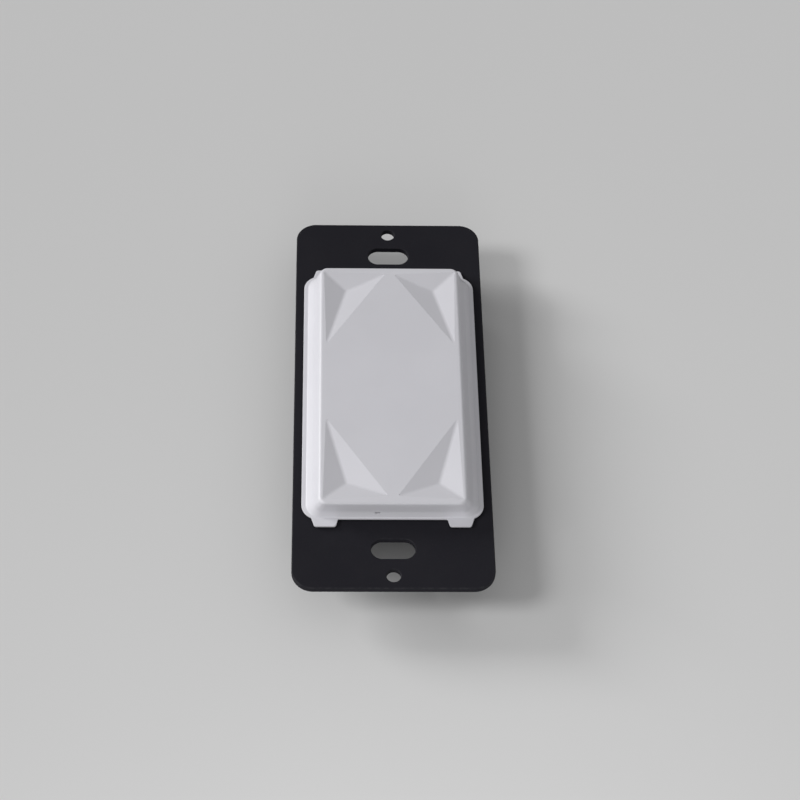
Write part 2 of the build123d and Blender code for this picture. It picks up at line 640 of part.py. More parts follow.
# Coin cell: a can with a narrower cap towards the board
with BuildPart() as coin_cell:
    with BuildSketch(Plane.XY.offset(cell_rear)):
        Circle(CELL_DIAMETER / 2)
    extrude(amount=CELL_THICKNESS - CELL_CAN_STEP)
    with BuildSketch(Plane.XY.offset(cell_front - CELL_CAN_STEP)):
        Circle(CELL_CAP_DIAMETER / 2)
    extrude(amount=CELL_CAN_STEP)
    chamfer(coin_cell.faces().sort_by(Axis.Z)[0].edges(), CELL_EDGE_BREAK)
coin_cell.part.label = "coin_cell"
export_step(coin_cell.part, "parts/coin_cell.step")

# Rear housing: a tray with solid screw corners, board posts, deck ledges and a stepped door opening
with BuildPart() as rear_housing:
    with BuildSketch(Plane.XY.offset(floor_outside)):
        RectangleRounded(HOUSING_WIDTH, HOUSING_LENGTH, HOUSING_CORNER)
    extrude(amount=-floor_outside)
    chamfer(rear_housing.faces().sort_by(Axis.Z)[0].edges(), HOUSING_EDGE_BREAK)
    with BuildSketch(Plane.XY.offset(floor_inside)):
        Rectangle(2 * cavity_half_width, cavity_middle_length)
        Rectangle(HOUSING_END_POCKET, 2 * cavity_half_length)
    extrude(amount=-floor_inside, mode=Mode.SUBTRACT)
    with BuildSketch(Plane.XY.offset(floor_inside)):
        with GridLocations(2 * board_hole_x, 2 * board_hole_y, 2, 2):
            RegularPolygon(POST_DIAMETER / 2, HIDDEN_SIDES)
        with Locations((0, door_screw_y)):
            RegularPolygon(POST_DIAMETER / 2, HIDDEN_SIDES)
    extrude(amount=board_bottom - floor_inside)
    ledge_x = cavity_half_width - LEDGE_DEPTH / 2
    with BuildSketch(Plane.XY.offset(floor_inside)):
        with GridLocations(2 * ledge_x, LEDGE_SPACING, 2, LEDGE_COUNT):
            Rectangle(LEDGE_DEPTH, LEDGE_WIDTH)
    extrude(amount=-DECK_FLANGE_THICKNESS - floor_inside)
    with BuildSketch(Plane.XY.offset(floor_outside)):
        RectangleRounded(door_size - 2 * DOOR_LIP, door_size - 2 * DOOR_LIP, DOOR_CORNER)
    extrude(amount=HOUSING_FLOOR, mode=Mode.SUBTRACT)
    with BuildSketch(Plane.XY.offset(floor_outside)):
        with Locations((0, DOOR_EAR / 2)):
            RectangleRounded(
                door_size + 2 * DOOR_CLEARANCE,
                door_size + DOOR_EAR + 2 * DOOR_CLEARANCE,
                DOOR_CORNER + DOOR_CLEARANCE,
            )
    extrude(amount=DOOR_SHEET, mode=Mode.SUBTRACT)
    with BuildSketch(Plane.XY.offset(board_bottom)):
        with GridLocations(2 * board_hole_x, 2 * board_hole_y, 2, 2):
            RegularPolygon(SMALL_SCREW_DIAMETER / 2 + SCREW_CLEARANCE, HIDDEN_SIDES)
    extrude(amount=-SMALL_SCREW_LENGTH + BOARD_THICKNESS, mode=Mode.SUBTRACT)
    with BuildSketch(Plane.XY.offset(door_seat)):
        with Locations((0, door_screw_y)):
            RegularPolygon(SMALL_SCREW_DIAMETER / 2 + SCREW_CLEARANCE, HIDDEN_SIDES)
    extrude(amount=SMALL_SCREW_LENGTH - DOOR_SHEET, mode=Mode.SUBTRACT)
    with BuildSketch(Plane.XY.offset(floor_outside)):
        with GridLocations(2 * HOUSING_SCREW_X, 2 * HOUSING_SCREW_Y, 2, 2):
            RegularPolygon(HOUSING_SCREW_DIAMETER / 2 + SCREW_CLEARANCE, HIDDEN_SIDES)
    extrude(amount=-floor_outside, mode=Mode.SUBTRACT)
    with BuildSketch(Plane.XY.offset(floor_outside)):
        with GridLocations(2 * HOUSING_SCREW_X, 2 * HOUSING_SCREW_Y, 2, 2):
            Circle(HOUSING_SCREW_HEAD / 2 + HEAD_CLEARANCE)
    extrude(amount=HOUSING_SCREW_HEAD_HEIGHT + HEAD_SINK, mode=Mode.SUBTRACT)
rear_housing.part.label = "rear_housing"
export_step(rear_housing.part, "parts/rear_housing.step")

# Battery door: a flush panel with an inner step, grip grooves and one screw hole
with BuildPart() as battery_door:
    with BuildSketch(Plane.XY.offset(floor_outside)):
        with Locations((0, DOOR_EAR / 2)):
            RectangleRounded(door_size, door_size + DOOR_EAR, DOOR_CORNER)
    extrude(amount=DOOR_SHEET)
    door_step = door_size - 2 * DOOR_LIP - 2 * DOOR_CLEARANCE
    with BuildSketch(Plane.XY.offset(door_seat)):
        RectangleRounded(door_step, door_step, DOOR_CORNER)
    extrude(amount=floor_inside - door_seat)
    with BuildSketch(Plane.XY.offset(floor_outside)):
        with Locations((0, door_screw_y)):
            Circle(SMALL_SCREW_DIAMETER / 2 + SCREW_CLEARANCE)
    extrude(amount=DOOR_SHEET, mode=Mode.SUBTRACT)
    with Locations((0, door_screw_y, floor_outside)):
        Cone(
            SMALL_SCREW_HEAD / 2 + SCREW_CLEARANCE,
            SMALL_SCREW_DIAMETER / 2 + SCREW_CLEARANCE,
            SUNK_HEAD_HEIGHT,
            align=(Align.CENTER, Align.CENTER, Align.MIN),
            mode=Mode.SUBTRACT,
        )
    with BuildSketch(Plane.XY.offset(floor_outside)):
        with Locations((0, GRIP_Y)):
            with GridLocations(0, GRIP_SPACING, 1, GRIP_COUNT):
                Rectangle(GRIP_LENGTH, GRIP_WIDTH)
    extrude(amount=GRIP_DEPTH, mode=Mode.SUBTRACT)
battery_door.part.label = "battery_door"
export_step(battery_door.part, "parts/battery_door.step")

# Door screw: countersunk, with a cross recess
with BuildPart() as door_screw:
    with Locations((0, door_screw_y, floor_outside)):
        Cone(
            SMALL_SCREW_HEAD / 2,
            SMALL_SCREW_DIAMETER / 2,
            SUNK_HEAD_HEIGHT,
            align=(Align.CENTER, Align.CENTER, Align.MIN),
        )
        Cylinder(
            SMALL_SCREW_DIAMETER / 2,
            SMALL_SCREW_LENGTH - SCREW_CLEARANCE,
            align=(Align.CENTER, Align.CENTER, Align.MIN),
        )
    with BuildSketch(Plane.XY.offset(floor_outside)):
        with Locations((0, door_screw_y)):
            Rectangle(SMALL_DRIVE_LENGTH, DRIVE_WIDTH)
            Rectangle(DRIVE_WIDTH, SMALL_DRIVE_LENGTH)
    extrude(amount=DRIVE_DEPTH, mode=Mode.SUBTRACT)
door_screw.part.label = "door_screw"
export_step(door_screw.part, "parts/door_screw.step")

# Board screws: pan heads on the board, shanks in the posts
with BuildPart() as board_screws:
    with BuildSketch(Plane.XY.offset(board_top)):
        with GridLocations(2 * board_hole_x, 2 * board_hole_y, 2, 2):
            RegularPolygon(SMALL_SCREW_HEAD / 2, HIDDEN_SIDES)
    extrude(amount=SMALL_SCREW_HEAD_HEIGHT)
    with BuildSketch(Plane.XY.offset(board_top)):
        with GridLocations(2 * board_hole_x, 2 * board_hole_y, 2, 2):
            RegularPolygon(SMALL_SCREW_DIAMETER / 2, HIDDEN_SIDES)
    extrude(amount=-SMALL_SCREW_LENGTH + SCREW_CLEARANCE)
    with BuildSketch(Plane.XY.offset(board_top + SMALL_SCREW_HEAD_HEIGHT)):
        with GridLocations(2 * board_hole_x, 2 * board_hole_y, 2, 2):
            Rectangle(SMALL_DRIVE_LENGTH, DRIVE_WIDTH)
            Rectangle(DRIVE_WIDTH, SMALL_DRIVE_LENGTH)
    extrude(amount=-DRIVE_DEPTH, mode=Mode.SUBTRACT)
board_screws.part.label = "board_screws"
export_step(board_screws.part, "parts/board_screws.step")

# Housing screws: heads sunk in the rear of the housing, shanks threaded into the plate
with BuildPart() as housing_screws:
    head_seat = floor_outside + HOUSING_SCREW_HEAD_HEIGHT + HEAD_SINK
    with BuildSketch(Plane.XY.offset(head_seat)):
        with GridLocations(2 * HOUSING_SCREW_X, 2 * HOUSING_SCREW_Y, 2, 2):
            RegularPolygon(HOUSING_SCREW_HEAD / 2, HEAD_SIDES)
    extrude(amount=-HOUSING_SCREW_HEAD_HEIGHT)
    with BuildSketch(Plane.XY.offset(head_seat)):
        with GridLocations(2 * HOUSING_SCREW_X, 2 * HOUSING_SCREW_Y, 2, 2):
            RegularPolygon(HOUSING_SCREW_DIAMETER / 2, HIDDEN_SIDES)
    extrude(amount=plate_front - head_seat)
    with BuildSketch(Plane.XY.offset(head_seat - HOUSING_SCREW_HEAD_HEIGHT)):
        with GridLocations(2 * HOUSING_SCREW_X, 2 * HOUSING_SCREW_Y, 2, 2):
            Rectangle(LARGE_DRIVE_LENGTH, DRIVE_WIDTH)
            Rectangle(DRIVE_WIDTH, LARGE_DRIVE_LENGTH)
    extrude(amount=DRIVE_DEPTH, mode=Mode.SUBTRACT)
housing_screws.part.label = "housing_screws"
export_step(housing_screws.part, "parts/housing_screws.step")
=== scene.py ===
"""Looks of a wall touch switch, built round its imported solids: cover, plate, domes, door, screws."""
import logging
import math
from collections.abc import Callable, Iterable, Sequence
from dataclasses import dataclass, replace
from enum import Enum

import bmesh
import bpy
from bmesh.types import BMEdge, BMesh, BMFace, BMVert
from mathutils import Matrix, Vector
from mathutils.geometry import closest_point_on_tri, intersect_line_sphere_2d


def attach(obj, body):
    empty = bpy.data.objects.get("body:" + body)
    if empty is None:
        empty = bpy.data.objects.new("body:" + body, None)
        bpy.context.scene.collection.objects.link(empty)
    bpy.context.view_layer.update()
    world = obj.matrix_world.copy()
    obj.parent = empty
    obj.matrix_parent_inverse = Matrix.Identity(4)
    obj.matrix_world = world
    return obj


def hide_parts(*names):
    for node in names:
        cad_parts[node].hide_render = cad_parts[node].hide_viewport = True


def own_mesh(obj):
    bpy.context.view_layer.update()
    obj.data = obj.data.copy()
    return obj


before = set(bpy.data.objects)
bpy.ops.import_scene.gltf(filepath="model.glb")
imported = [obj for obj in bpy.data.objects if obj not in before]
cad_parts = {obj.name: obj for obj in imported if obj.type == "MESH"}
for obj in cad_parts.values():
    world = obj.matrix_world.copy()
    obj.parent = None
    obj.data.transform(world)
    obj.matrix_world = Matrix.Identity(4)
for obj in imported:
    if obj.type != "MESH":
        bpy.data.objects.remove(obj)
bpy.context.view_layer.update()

log = logging.getLogger("touch_switch")

MM = 0.001
FRAME_PIXELS = 800
SENSOR_WIDTH_MM = 36.0
EDGE_LAYER = "edge"

# Distances in millimetres: points closer than MERGE are one, points within TOUCHING of an edge lie on it,
# and edges shorter than SPECK are dropped
MERGE = 0.0005
TOUCHING = 0.0001
SPECK = 0.004

# Edges past this angle stay sharp
SHARP_ANGLE = math.radians(38.0)

# The edge mask is 0 beside faces this wide, and rises between these angles, in degrees
BROAD_FACE = 0.5
MASK_ANGLES = (9.0, 21.0)

# Smallest corner radius of a ring, and size of a cross recess's floor as a share of its mouth
SMALLEST_CORNER = 0.1
CROSS_TAPER = 0.7

# Side along X and end along Y of each corner
CORNERS = [(side, end) for side in (-1, 1) for end in (-1, 1)]


class Body(Enum):
    """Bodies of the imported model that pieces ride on."""

    BASE = "base"
    COVER = "cover"


class Slot(Enum):
    """Material slots of the record."""

    PLATE = "plate_black"
    COVER = "cover_white"
    PIPE = "pipe_clear"
    HOUSING = "housing_black"
    BOARD = "board_green"
    SWITCH = "switch_black"
    SHEET = "pressed_steel"
    SPRING = "spring_steel"
    LAMP = "lamp_resin"
    CHIP = "chip_black"
    CERAMIC = "capacitor_ceramic"
    RESERVOIR = "reservoir_resin"
    CONTACT = "contact_nickel"
    HOLDER = "holder_black"
    CELL = "cell_steel"
    SCREW = "screw_steel"


# Shader nodes

Colour = tuple[float, float, float]
Socket = bpy.types.NodeSocket
Value = Socket | Colour | float


@dataclass(frozen=True)
class Wiring:
    """Short ways to add nodes to a node tree.

    Attributes:
        tree: the node tree.
    """

    tree: bpy.types.NodeTree

    def feed(self, socket: Socket, value: Value) -> None:
        """Link a socket to another one, or set its colour or number."""
        if isinstance(value, Socket):
            self.tree.links.new(value, socket)
        else:
            socket.default_value = (*value, 1.0) if isinstance(value, tuple) else value

    def add(
        self, kind: str, inputs: dict[str | int, Value] | None = None, **settings: str | bool | bpy.types.ID
    ) -> bpy.types.Node:
        """Add a node.

        Args:
            kind: Blender's name of the node, without ShaderNode.
            inputs: what its inputs get, by name or place.
            settings: its properties.

        Returns:
            The node.
        """
        node = self.tree.nodes.new(f"ShaderNode{kind}")
        for name, setting in settings.items():
            setattr(node, name, setting)
        for name, value in (inputs or {}).items():
            self.feed(node.inputs[name], value)
        return node

    def compute(
        self, operation: str, first: Socket | float, second: Socket | float, clamp: bool = False
    ) -> Socket:
        """Add a Math node.

        Args:
            operation: Blender's name of the operation.
            first: first operand.
            second: second operand.
            clamp: whether the result is held between 0 and 1.

        Returns:
            The result's socket.
        """
        return self.add("Math", {0: first, 1: second}, operation=operation, use_clamp=clamp).outputs[0]

    def weigh(self, first: Socket, first_share: float, second: Socket, second_share: float) -> Socket:
        """Add two values by their shares."""
        parts = self.compute("MULTIPLY", first, first_share), self.compute("MULTIPLY", second, second_share)
        return self.compute("ADD", *parts)

    def remap(
        self, value: Socket, source: tuple[float, float], target: tuple[float, float] = (0.0, 1.0)
    ) -> Socket:
        """Add a smooth Map Range node.

        Args:
            value: socket to remap.
            source: lowest and highest value read.
            target: value given at each end.

        Returns:
            The result's socket.
        """
        ends = dict(zip(("From Min", "From Max", "To Min", "To Max"), (*source, *target)))
        node = self.add("MapRange", {"Value": value, **ends}, interpolation_type="SMOOTHSTEP")
        return node.outputs["Result"]

    def noise(
        self, place: Socket, scale: Socket | float, detail: float = 2.0, roughness: float = 0.5
    ) -> Socket:
        """Add a noise texture.

        Args:
            place: coordinates to read it at.
            scale: cells per metre.
            detail: octaves.
            roughness: weight of the finer octaves.

        Returns:
            The texture's value socket.
        """
        inputs = {"Vector": place, "Scale": scale, "Detail": detail, "Roughness": roughness}
        return self.add("TexNoise", inputs).outputs["Fac"]

    def mix(self, share: Socket, first: Socket | Colour, second: Colour) -> Socket:
        """Mix two colours by a mask.

        Args:
            share: mask, 0 for the first colour and 1 for the second.
            first: first colour.
            second: second colour.

        Returns:
            The mixed colour's socket.
        """
        node = self.add("Mix", {"Factor": share}, data_type="RGBA")
        sockets = [socket for socket in node.inputs if socket.type == "RGBA"]
        for socket, colour in zip(sockets, (first, second)):
            self.feed(socket, colour)
        return next(socket for socket in node.outputs if socket.type == "RGBA")

    def bump(self, height: Socket, distance: float, strength: float) -> Socket:
        """Turn a height into a normal.

        Args:
            height: height socket, 0 to 1.
            distance: height of a full step, in metres.
            strength: share of the effect.

        Returns:
            The normal's socket.
        """
        inputs = {"Height": height, "Distance": distance, "Strength": strength}
        return self.add("Bump", inputs).outputs["Normal"]

    def effect(self, name: str, **inputs: Socket | float) -> bpy.types.Node:
        """Place a shared effect, building its group the first time.

        Args:
            name: key of EFFECTS.
            inputs: what each of its inputs gets.

        Returns:
            The group's node.
        """
        group = bpy.data.node_groups.get(name) or EFFECTS[name].group(name)
        return self.add("Group", inputs, node_tree=group)


def moulded_grain(wiring: Wiring, place: Socket, scale: Socket) -> tuple[Socket, ...]:
    """Wire the fine skin of an eroded mould: an even grain, and a slow drift."""
    fine = wiring.noise(place, scale, 3.0, 0.6)
    coarse = wiring.noise(place, wiring.compute("MULTIPLY", scale, 0.35))
    drift = wiring.noise(place, 60.0, 3.0, 0.55)
    return wiring.remap(wiring.weigh(fine, 0.65, coarse, 0.35), (0.3, 0.7)), wiring.remap(drift, (0.3, 0.7))


def powder_coat(wiring: Wiring, place: Socket, scale: Socket) -> tuple[Socket, ...]:
    """Wire the skin of a powder coat: small rounded hills, and fine pits between them."""
    cells = wiring.add("TexVoronoi", {"Vector": place, "Scale": scale}, feature="SMOOTH_F1")
    hills = wiring.remap(cells.outputs["Distance"], (0.0, 0.8), (1.0, 0.0))
    fine = wiring.noise(place, wiring.compute("MULTIPLY", scale, 2.3))
    height = wiring.weigh(hills, 0.7, fine, 0.3)
    return height, wiring.remap(height, (0.25, 0.5), (1.0, 0.0))


def edge_wear_and_sheen(wiring: Wiring, place: Socket, edge: Socket, amount: Socket) -> tuple[Socket, ...]:
    """Wire a mask along edges, broken up by noise: handling wear, which the powder coat also uses for painted
    sheen.
    """
    patchy = wiring.remap(wiring.noise(place, 700.0, 4.0, 0.6), (0.42, 0.62))
    along = wiring.compute("MULTIPLY", edge, wiring.compute("ADD", patchy, 0.35), clamp=True)
    return (wiring.compute("MULTIPLY", along, amount, clamp=True),)


def settled_dust(wiring: Wiring, place: Socket, up: Socket, amount: Socket) -> tuple[Socket, ...]:
    """Wire fine dust that settles on faces turned upwards."""
    cloud = wiring.remap(wiring.noise(place, 90.0, 5.0, 0.6), (0.35, 0.7), (0.3, 1.0))
    specks = wiring.remap(wiring.noise(place, 3200.0), (0.62, 0.74))
    layer = wiring.compute("ADD", wiring.compute("MULTIPLY", cloud, 0.5), specks, clamp=True)
    lying = wiring.compute("MULTIPLY", layer, wiring.remap(up, (0.3, 0.95)))
    return (wiring.compute("MULTIPLY", lying, amount),)


def rolled_sheet(wiring: Wiring, place: Socket) -> tuple[Socket, ...]:
    """Wire the rolling marks of bare sheet metal, drawn out along one direction, and smudges."""
    stretch = wiring.add("Mapping", {"Vector": place})
    stretch.inputs["Scale"].default_value = (9000.0, 300.0, 9000.0)
    streak = wiring.noise(stretch.outputs["Vector"], 1.0, 3.0, 0.6)
    return streak, wiring.remap(wiring.noise(place, 350.0, 3.0), (0.35, 0.65))


@dataclass(frozen=True)
class Effect:
    """A shader group that materials share, which reads its patterns at a Vector.

    Attributes:
        numbers: names of its number inputs.
        outputs: names of its outputs, each between 0 and 1.
        wire: function that gives its outputs from its inputs.
    """

    numbers: tuple[str, ...]
    outputs: tuple[str, ...]
    wire: Callable[..., tuple[Socket, ...]]

    def group(self, name: str) -> bpy.types.NodeTree:
        """Build the group.

        Args:
            name: name of the group.

        Returns:
            Its node tree.
        """
        made = bpy.data.node_groups.new(name, "ShaderNodeTree")
        made.interface.new_socket("Vector", in_out="INPUT", socket_type="NodeSocketVector")
        for sockets, side in ((self.numbers, "INPUT"), (self.outputs, "OUTPUT")):
            for socket in sockets:
                made.interface.new_socket(socket, in_out=side, socket_type="NodeSocketFloat")
        start, end = made.nodes.new("NodeGroupInput"), made.nodes.new("NodeGroupOutput")
        inputs = [start.outputs[socket] for socket in ("Vector", *self.numbers)]
        for socket, result in zip(self.outputs, self.wire(Wiring(made), *inputs)):
            made.links.new(result, end.inputs[socket])
        return made


EFFECTS: dict[str, Effect] = {
    "moulded_grain": Effect(("Scale",), ("Grain", "Drift"), moulded_grain),
    "powder_coat": Effect(("Scale",), ("Height", "Pits"), powder_coat),
    "edge_wear_and_sheen": Effect(("Edge", "Amount"), ("Wear_and_sheen",), edge_wear_and_sheen),
    "settled_dust": Effect(("Up", "Amount"), ("Dust",), settled_dust),
    "rolled_sheet": Effect((), ("Streak", "Smudge"), rolled_sheet),
}


# Finishes


@dataclass(frozen=True)
class Finish:
    """A surface finish: one Principled shader whose looks change over the surface.

    Attributes:
        name: name of the material.
        colour: main colour, linear.
        roughness: mean roughness.
        specular: specular level of the shader.
    """

    name: str
    colour: Colour
    roughness: float = 0.5
    specular: float = 0.5

    def material(self) -> bpy.types.Material:
        """Build the material once, and give it again when it exists.

        Returns:
            The material.
        """
        found = bpy.data.materials.get(self.name)
        if found is not None:
            return found
        made = bpy.data.materials.new(self.name)
        made.use_nodes = True
        shader = made.node_tree.nodes["Principled BSDF"]
        wiring = Wiring(made.node_tree)
        place = wiring.add("TexCoord").outputs["Object"]
        even = {"Base Color": self.colour, "Roughness": self.roughness, "Specular IOR Level": self.specular}
        for looks in (even, self.looks(wiring, place)):
            for socket, value in looks.items():
                wiring.feed(shader.inputs[socket], value)
        return made

    def looks(self, wiring: Wiring, place: Socket) -> dict[str, Value]:
        """Wire what sets this finish apart.

        Args:
            wiring: the material's node tree.
            place: coordinates that its patterns read.

        Returns:
            What the shader's sockets get.
        """
        raise NotImplementedError

    def uneven(
        self,
        wiring: Wiring,
        pattern: Socket,
        smoother: float,
        rougher: float,
        source: tuple[float, float] = (0.0, 1.0),
    ) -> Socket:
        """Vary the roughness by a pattern.

        Args:
            wiring: the material's node tree.
            pattern: socket of the pattern.
            smoother: how far the roughness goes down.
            rougher: how far the roughness goes up.
            source: lowest and highest value read.

        Returns:
            The roughness's socket.
        """
        return wiring.remap(pattern, source, (self.roughness - smoother, self.roughness + rougher))


@dataclass(frozen=True)
class HandledFinish(Finish):
    """A finish whose edges wear with handling and whose upper faces take dust.

    Attributes:
        wear: amount of wear along edges.
        dust: amount of settled dust.
        dust_colour: colour of the dust, linear.
    """

    wear: float = 0.8
    dust: float = 0.05
    dust_colour: Colour = (0.42, 0.41, 0.39)

    def edge_wear_and_sheen_mask(self, wiring: Wiring, place: Socket) -> Socket:
        """Wire the wear along edges from the edge mask of modelled pieces; other pieces have none. The powder
        coat also paints sheen with it.
        """
        edge = wiring.add("Attribute", attribute_name=EDGE_LAYER).outputs["Fac"]
        return wiring.effect("edge_wear_and_sheen", Vector=place, Edge=edge, Amount=self.wear).outputs["Wear_and_sheen"]

    def dusted(self, wiring: Wiring, place: Socket, colour: Socket) -> Socket:
        """Wire the dust over a colour."""
        normal = wiring.add("NewGeometry").outputs["Normal"]
        up = wiring.add("SeparateXYZ", {0: normal}).outputs["Z"]
        dust = wiring.effect("settled_dust", Vector=place, Up=up, Amount=self.dust)
        return wiring.mix(dust.outputs["Dust"], colour, self.dust_colour)


@dataclass(frozen=True)
class MouldedPlastic(HandledFinish):
    """Moulded plastic with the even grain of its mould and a trace of dust.

    Attributes:
        shade: colour that the slow drift leads to.
        grain_scale: grain cells per metre.
        grain_height: height of the grain, in metres.
        grain_strength: share of the grain's bump.
        polish: how much smoother handled edges are.
    """

    shade: Colour = (0.7, 0.7, 0.7)
    grain_scale: float = 5200.0
    grain_height: float = 0.02 * MM
    grain_strength: float = 0.35
    polish: float = 0.12

    def looks(self, wiring: Wiring, place: Socket) -> dict[str, Value]:
        """Wire grain, drift, polished edges and dust."""
        grain = wiring.effect("moulded_grain", Vector=place, Scale=self.grain_scale)
        drifted = wiring.mix(grain.outputs["Drift"], self.colour, self.shade)
        rough = self.uneven(wiring, grain.outputs["Grain"], 0.04, 0.05)
        smoothed = wiring.compute("MULTIPLY", self.edge_wear_and_sheen_mask(wiring, place), -self.polish)
        return {
            "Base Color": self.dusted(wiring, place, drifted),
            "Roughness": wiring.compute("ADD", rough, smoothed, clamp=True),
            "Normal": wiring.bump(grain.outputs["Grain"], self.grain_height, self.grain_strength),
        }


@dataclass(frozen=True)
class PowderCoat(HandledFinish):
    """Powder coat on steel sheet: rounded hills, pits, edges lightened for scuffing and painted sheen, and a
    trace of dust.

    Attributes:
        wear: amount of lighter colour along edges, part scuffing and part painted sheen.
        dust_colour: colour of the dust, linear.
        edge_scuff_and_sheen: lighter colour along edges, part scuffed coat and part painted sheen.
        hill_scale: hills per metre.
        hill_height: height of the hills, in metres.
        hill_strength: share of the hills' bump.
    """

    wear: float = 0.55
    dust_colour: Colour = (0.16, 0.155, 0.15)
    # painted sheen: this lighter colour along the edges stands partly for scuffed coat and partly for
    # highlights
    edge_scuff_and_sheen: Colour = (0.045, 0.0445, 0.049)
    hill_scale: float = 2600.0
    hill_height: float = 0.03 * MM
    hill_strength: float = 0.4

    def looks(self, wiring: Wiring, place: Socket) -> dict[str, Value]:
        """Wire hills, pits, edges lightened for scuffing and painted sheen, and dust."""
        coat = wiring.effect("powder_coat", Vector=place, Scale=self.hill_scale)
        # the edges get the lighter colour: painted sheen along with scuffing
        edge_scuff_and_sheen = wiring.mix(self.edge_wear_and_sheen_mask(wiring, place), self.colour, self.edge_scuff_and_sheen)
        return {
            "Base Color": self.dusted(wiring, place, edge_scuff_and_sheen),
            "Roughness": self.uneven(wiring, coat.outputs["Pits"], 0.05, 0.08),
            "Normal": wiring.bump(coat.outputs["Height"], self.hill_height, self.hill_strength),
        }


@dataclass(frozen=True)
class SheetMetal(Finish):
    """Bare or plated sheet metal with rolling marks and smudges.

    Attributes:
        tarnish: colour of the smudges.
        streak_height: height of the rolling marks, in metres.
    """

    tarnish: Colour = (0.4, 0.39, 0.36)
    streak_height: float = 0.004 * MM

    def looks(self, wiring: Wiring, place: Socket) -> dict[str, Value]:
        """Wire rolling marks and smudges on bare metal."""
        sheet = wiring.effect("rolled_sheet", Vector=place)
        return {
            "Metallic": 1.0,
            "Base Color": wiring.mix(sheet.outputs["Smudge"], self.colour, self.tarnish),
            "Roughness": self.uneven(wiring, sheet.outputs["Streak"], 0.07, 0.1, (0.2, 0.8)),
            "Normal": wiring.bump(sheet.outputs["Streak"], self.streak_height, 0.5),
        }


@dataclass(frozen=True)
class ClearPlastic(Finish):
    """Clear acrylic, slightly clouded.

    Attributes:
        transmission: share of light let through.
    """

    transmission: float = 0.85

    def looks(self, wiring: Wiring, place: Socket) -> dict[str, Value]:
        """Wire transmission and faint clouding."""
        grain = wiring.effect("moulded_grain", Vector=place, Scale=3000.0)
        return {
            "Transmission Weight": self.transmission,
            "Roughness": self.uneven(wiring, grain.outputs["Drift"], 0.03, 0.06),
        }


@dataclass(frozen=True)
class SolderMask(Finish):
    """Solder mask over glass laminate: a glossy film with the weave just showing.

    Attributes:
        bare: colour over bare laminate, between the copper areas.
        copper_scale: copper areas per metre.
        weave_scale: threads of the weave per metre.
        weave_height: height of the weave, in metres.
    """

    bare: Colour = (0.03, 0.17, 0.08)
    copper_scale: float = 320.0
    weave_scale: float = 2200.0
    weave_height: float = 0.004 * MM

    def looks(self, wiring: Wiring, place: Socket) -> dict[str, Value]:
        """Wire copper areas under the film, and the weave."""
        areas = wiring.add("TexVoronoi", {"Vector": place, "Scale": self.copper_scale}, distance="CHEBYCHEV")
        copper = wiring.remap(areas.outputs["Distance"], (0.3, 0.36))
        weave = wiring.add("TexWave", {"Vector": place, "Scale": self.weave_scale})
        grain = wiring.effect("moulded_grain", Vector=place, Scale=2400.0)
        return {
            "Base Color": wiring.mix(copper, self.colour, self.bare),
            "Roughness": self.uneven(wiring, grain.outputs["Drift"], 0.04, 0.08),
            "Normal": wiring.bump(weave.outputs["Fac"], self.weave_height, 0.3),
        }


@dataclass(frozen=True)
class MattFloor(Finish):
    """Matt floor, slightly uneven.

    Attributes:
        darkest: brightness of its darkest areas, as a share of the colour.
    """

    darkest: float = 0.985

    def looks(self, wiring: Wiring, place: Socket) -> dict[str, Value]:
        """Wire the slow change over the floor."""
        drift = wiring.remap(wiring.noise(place, 6.0, 3.0), (0.3, 0.7))
        darker = tuple(channel * self.darkest for channel in self.colour)
        return {"Base Color": wiring.mix(drift, self.colour, darker)}


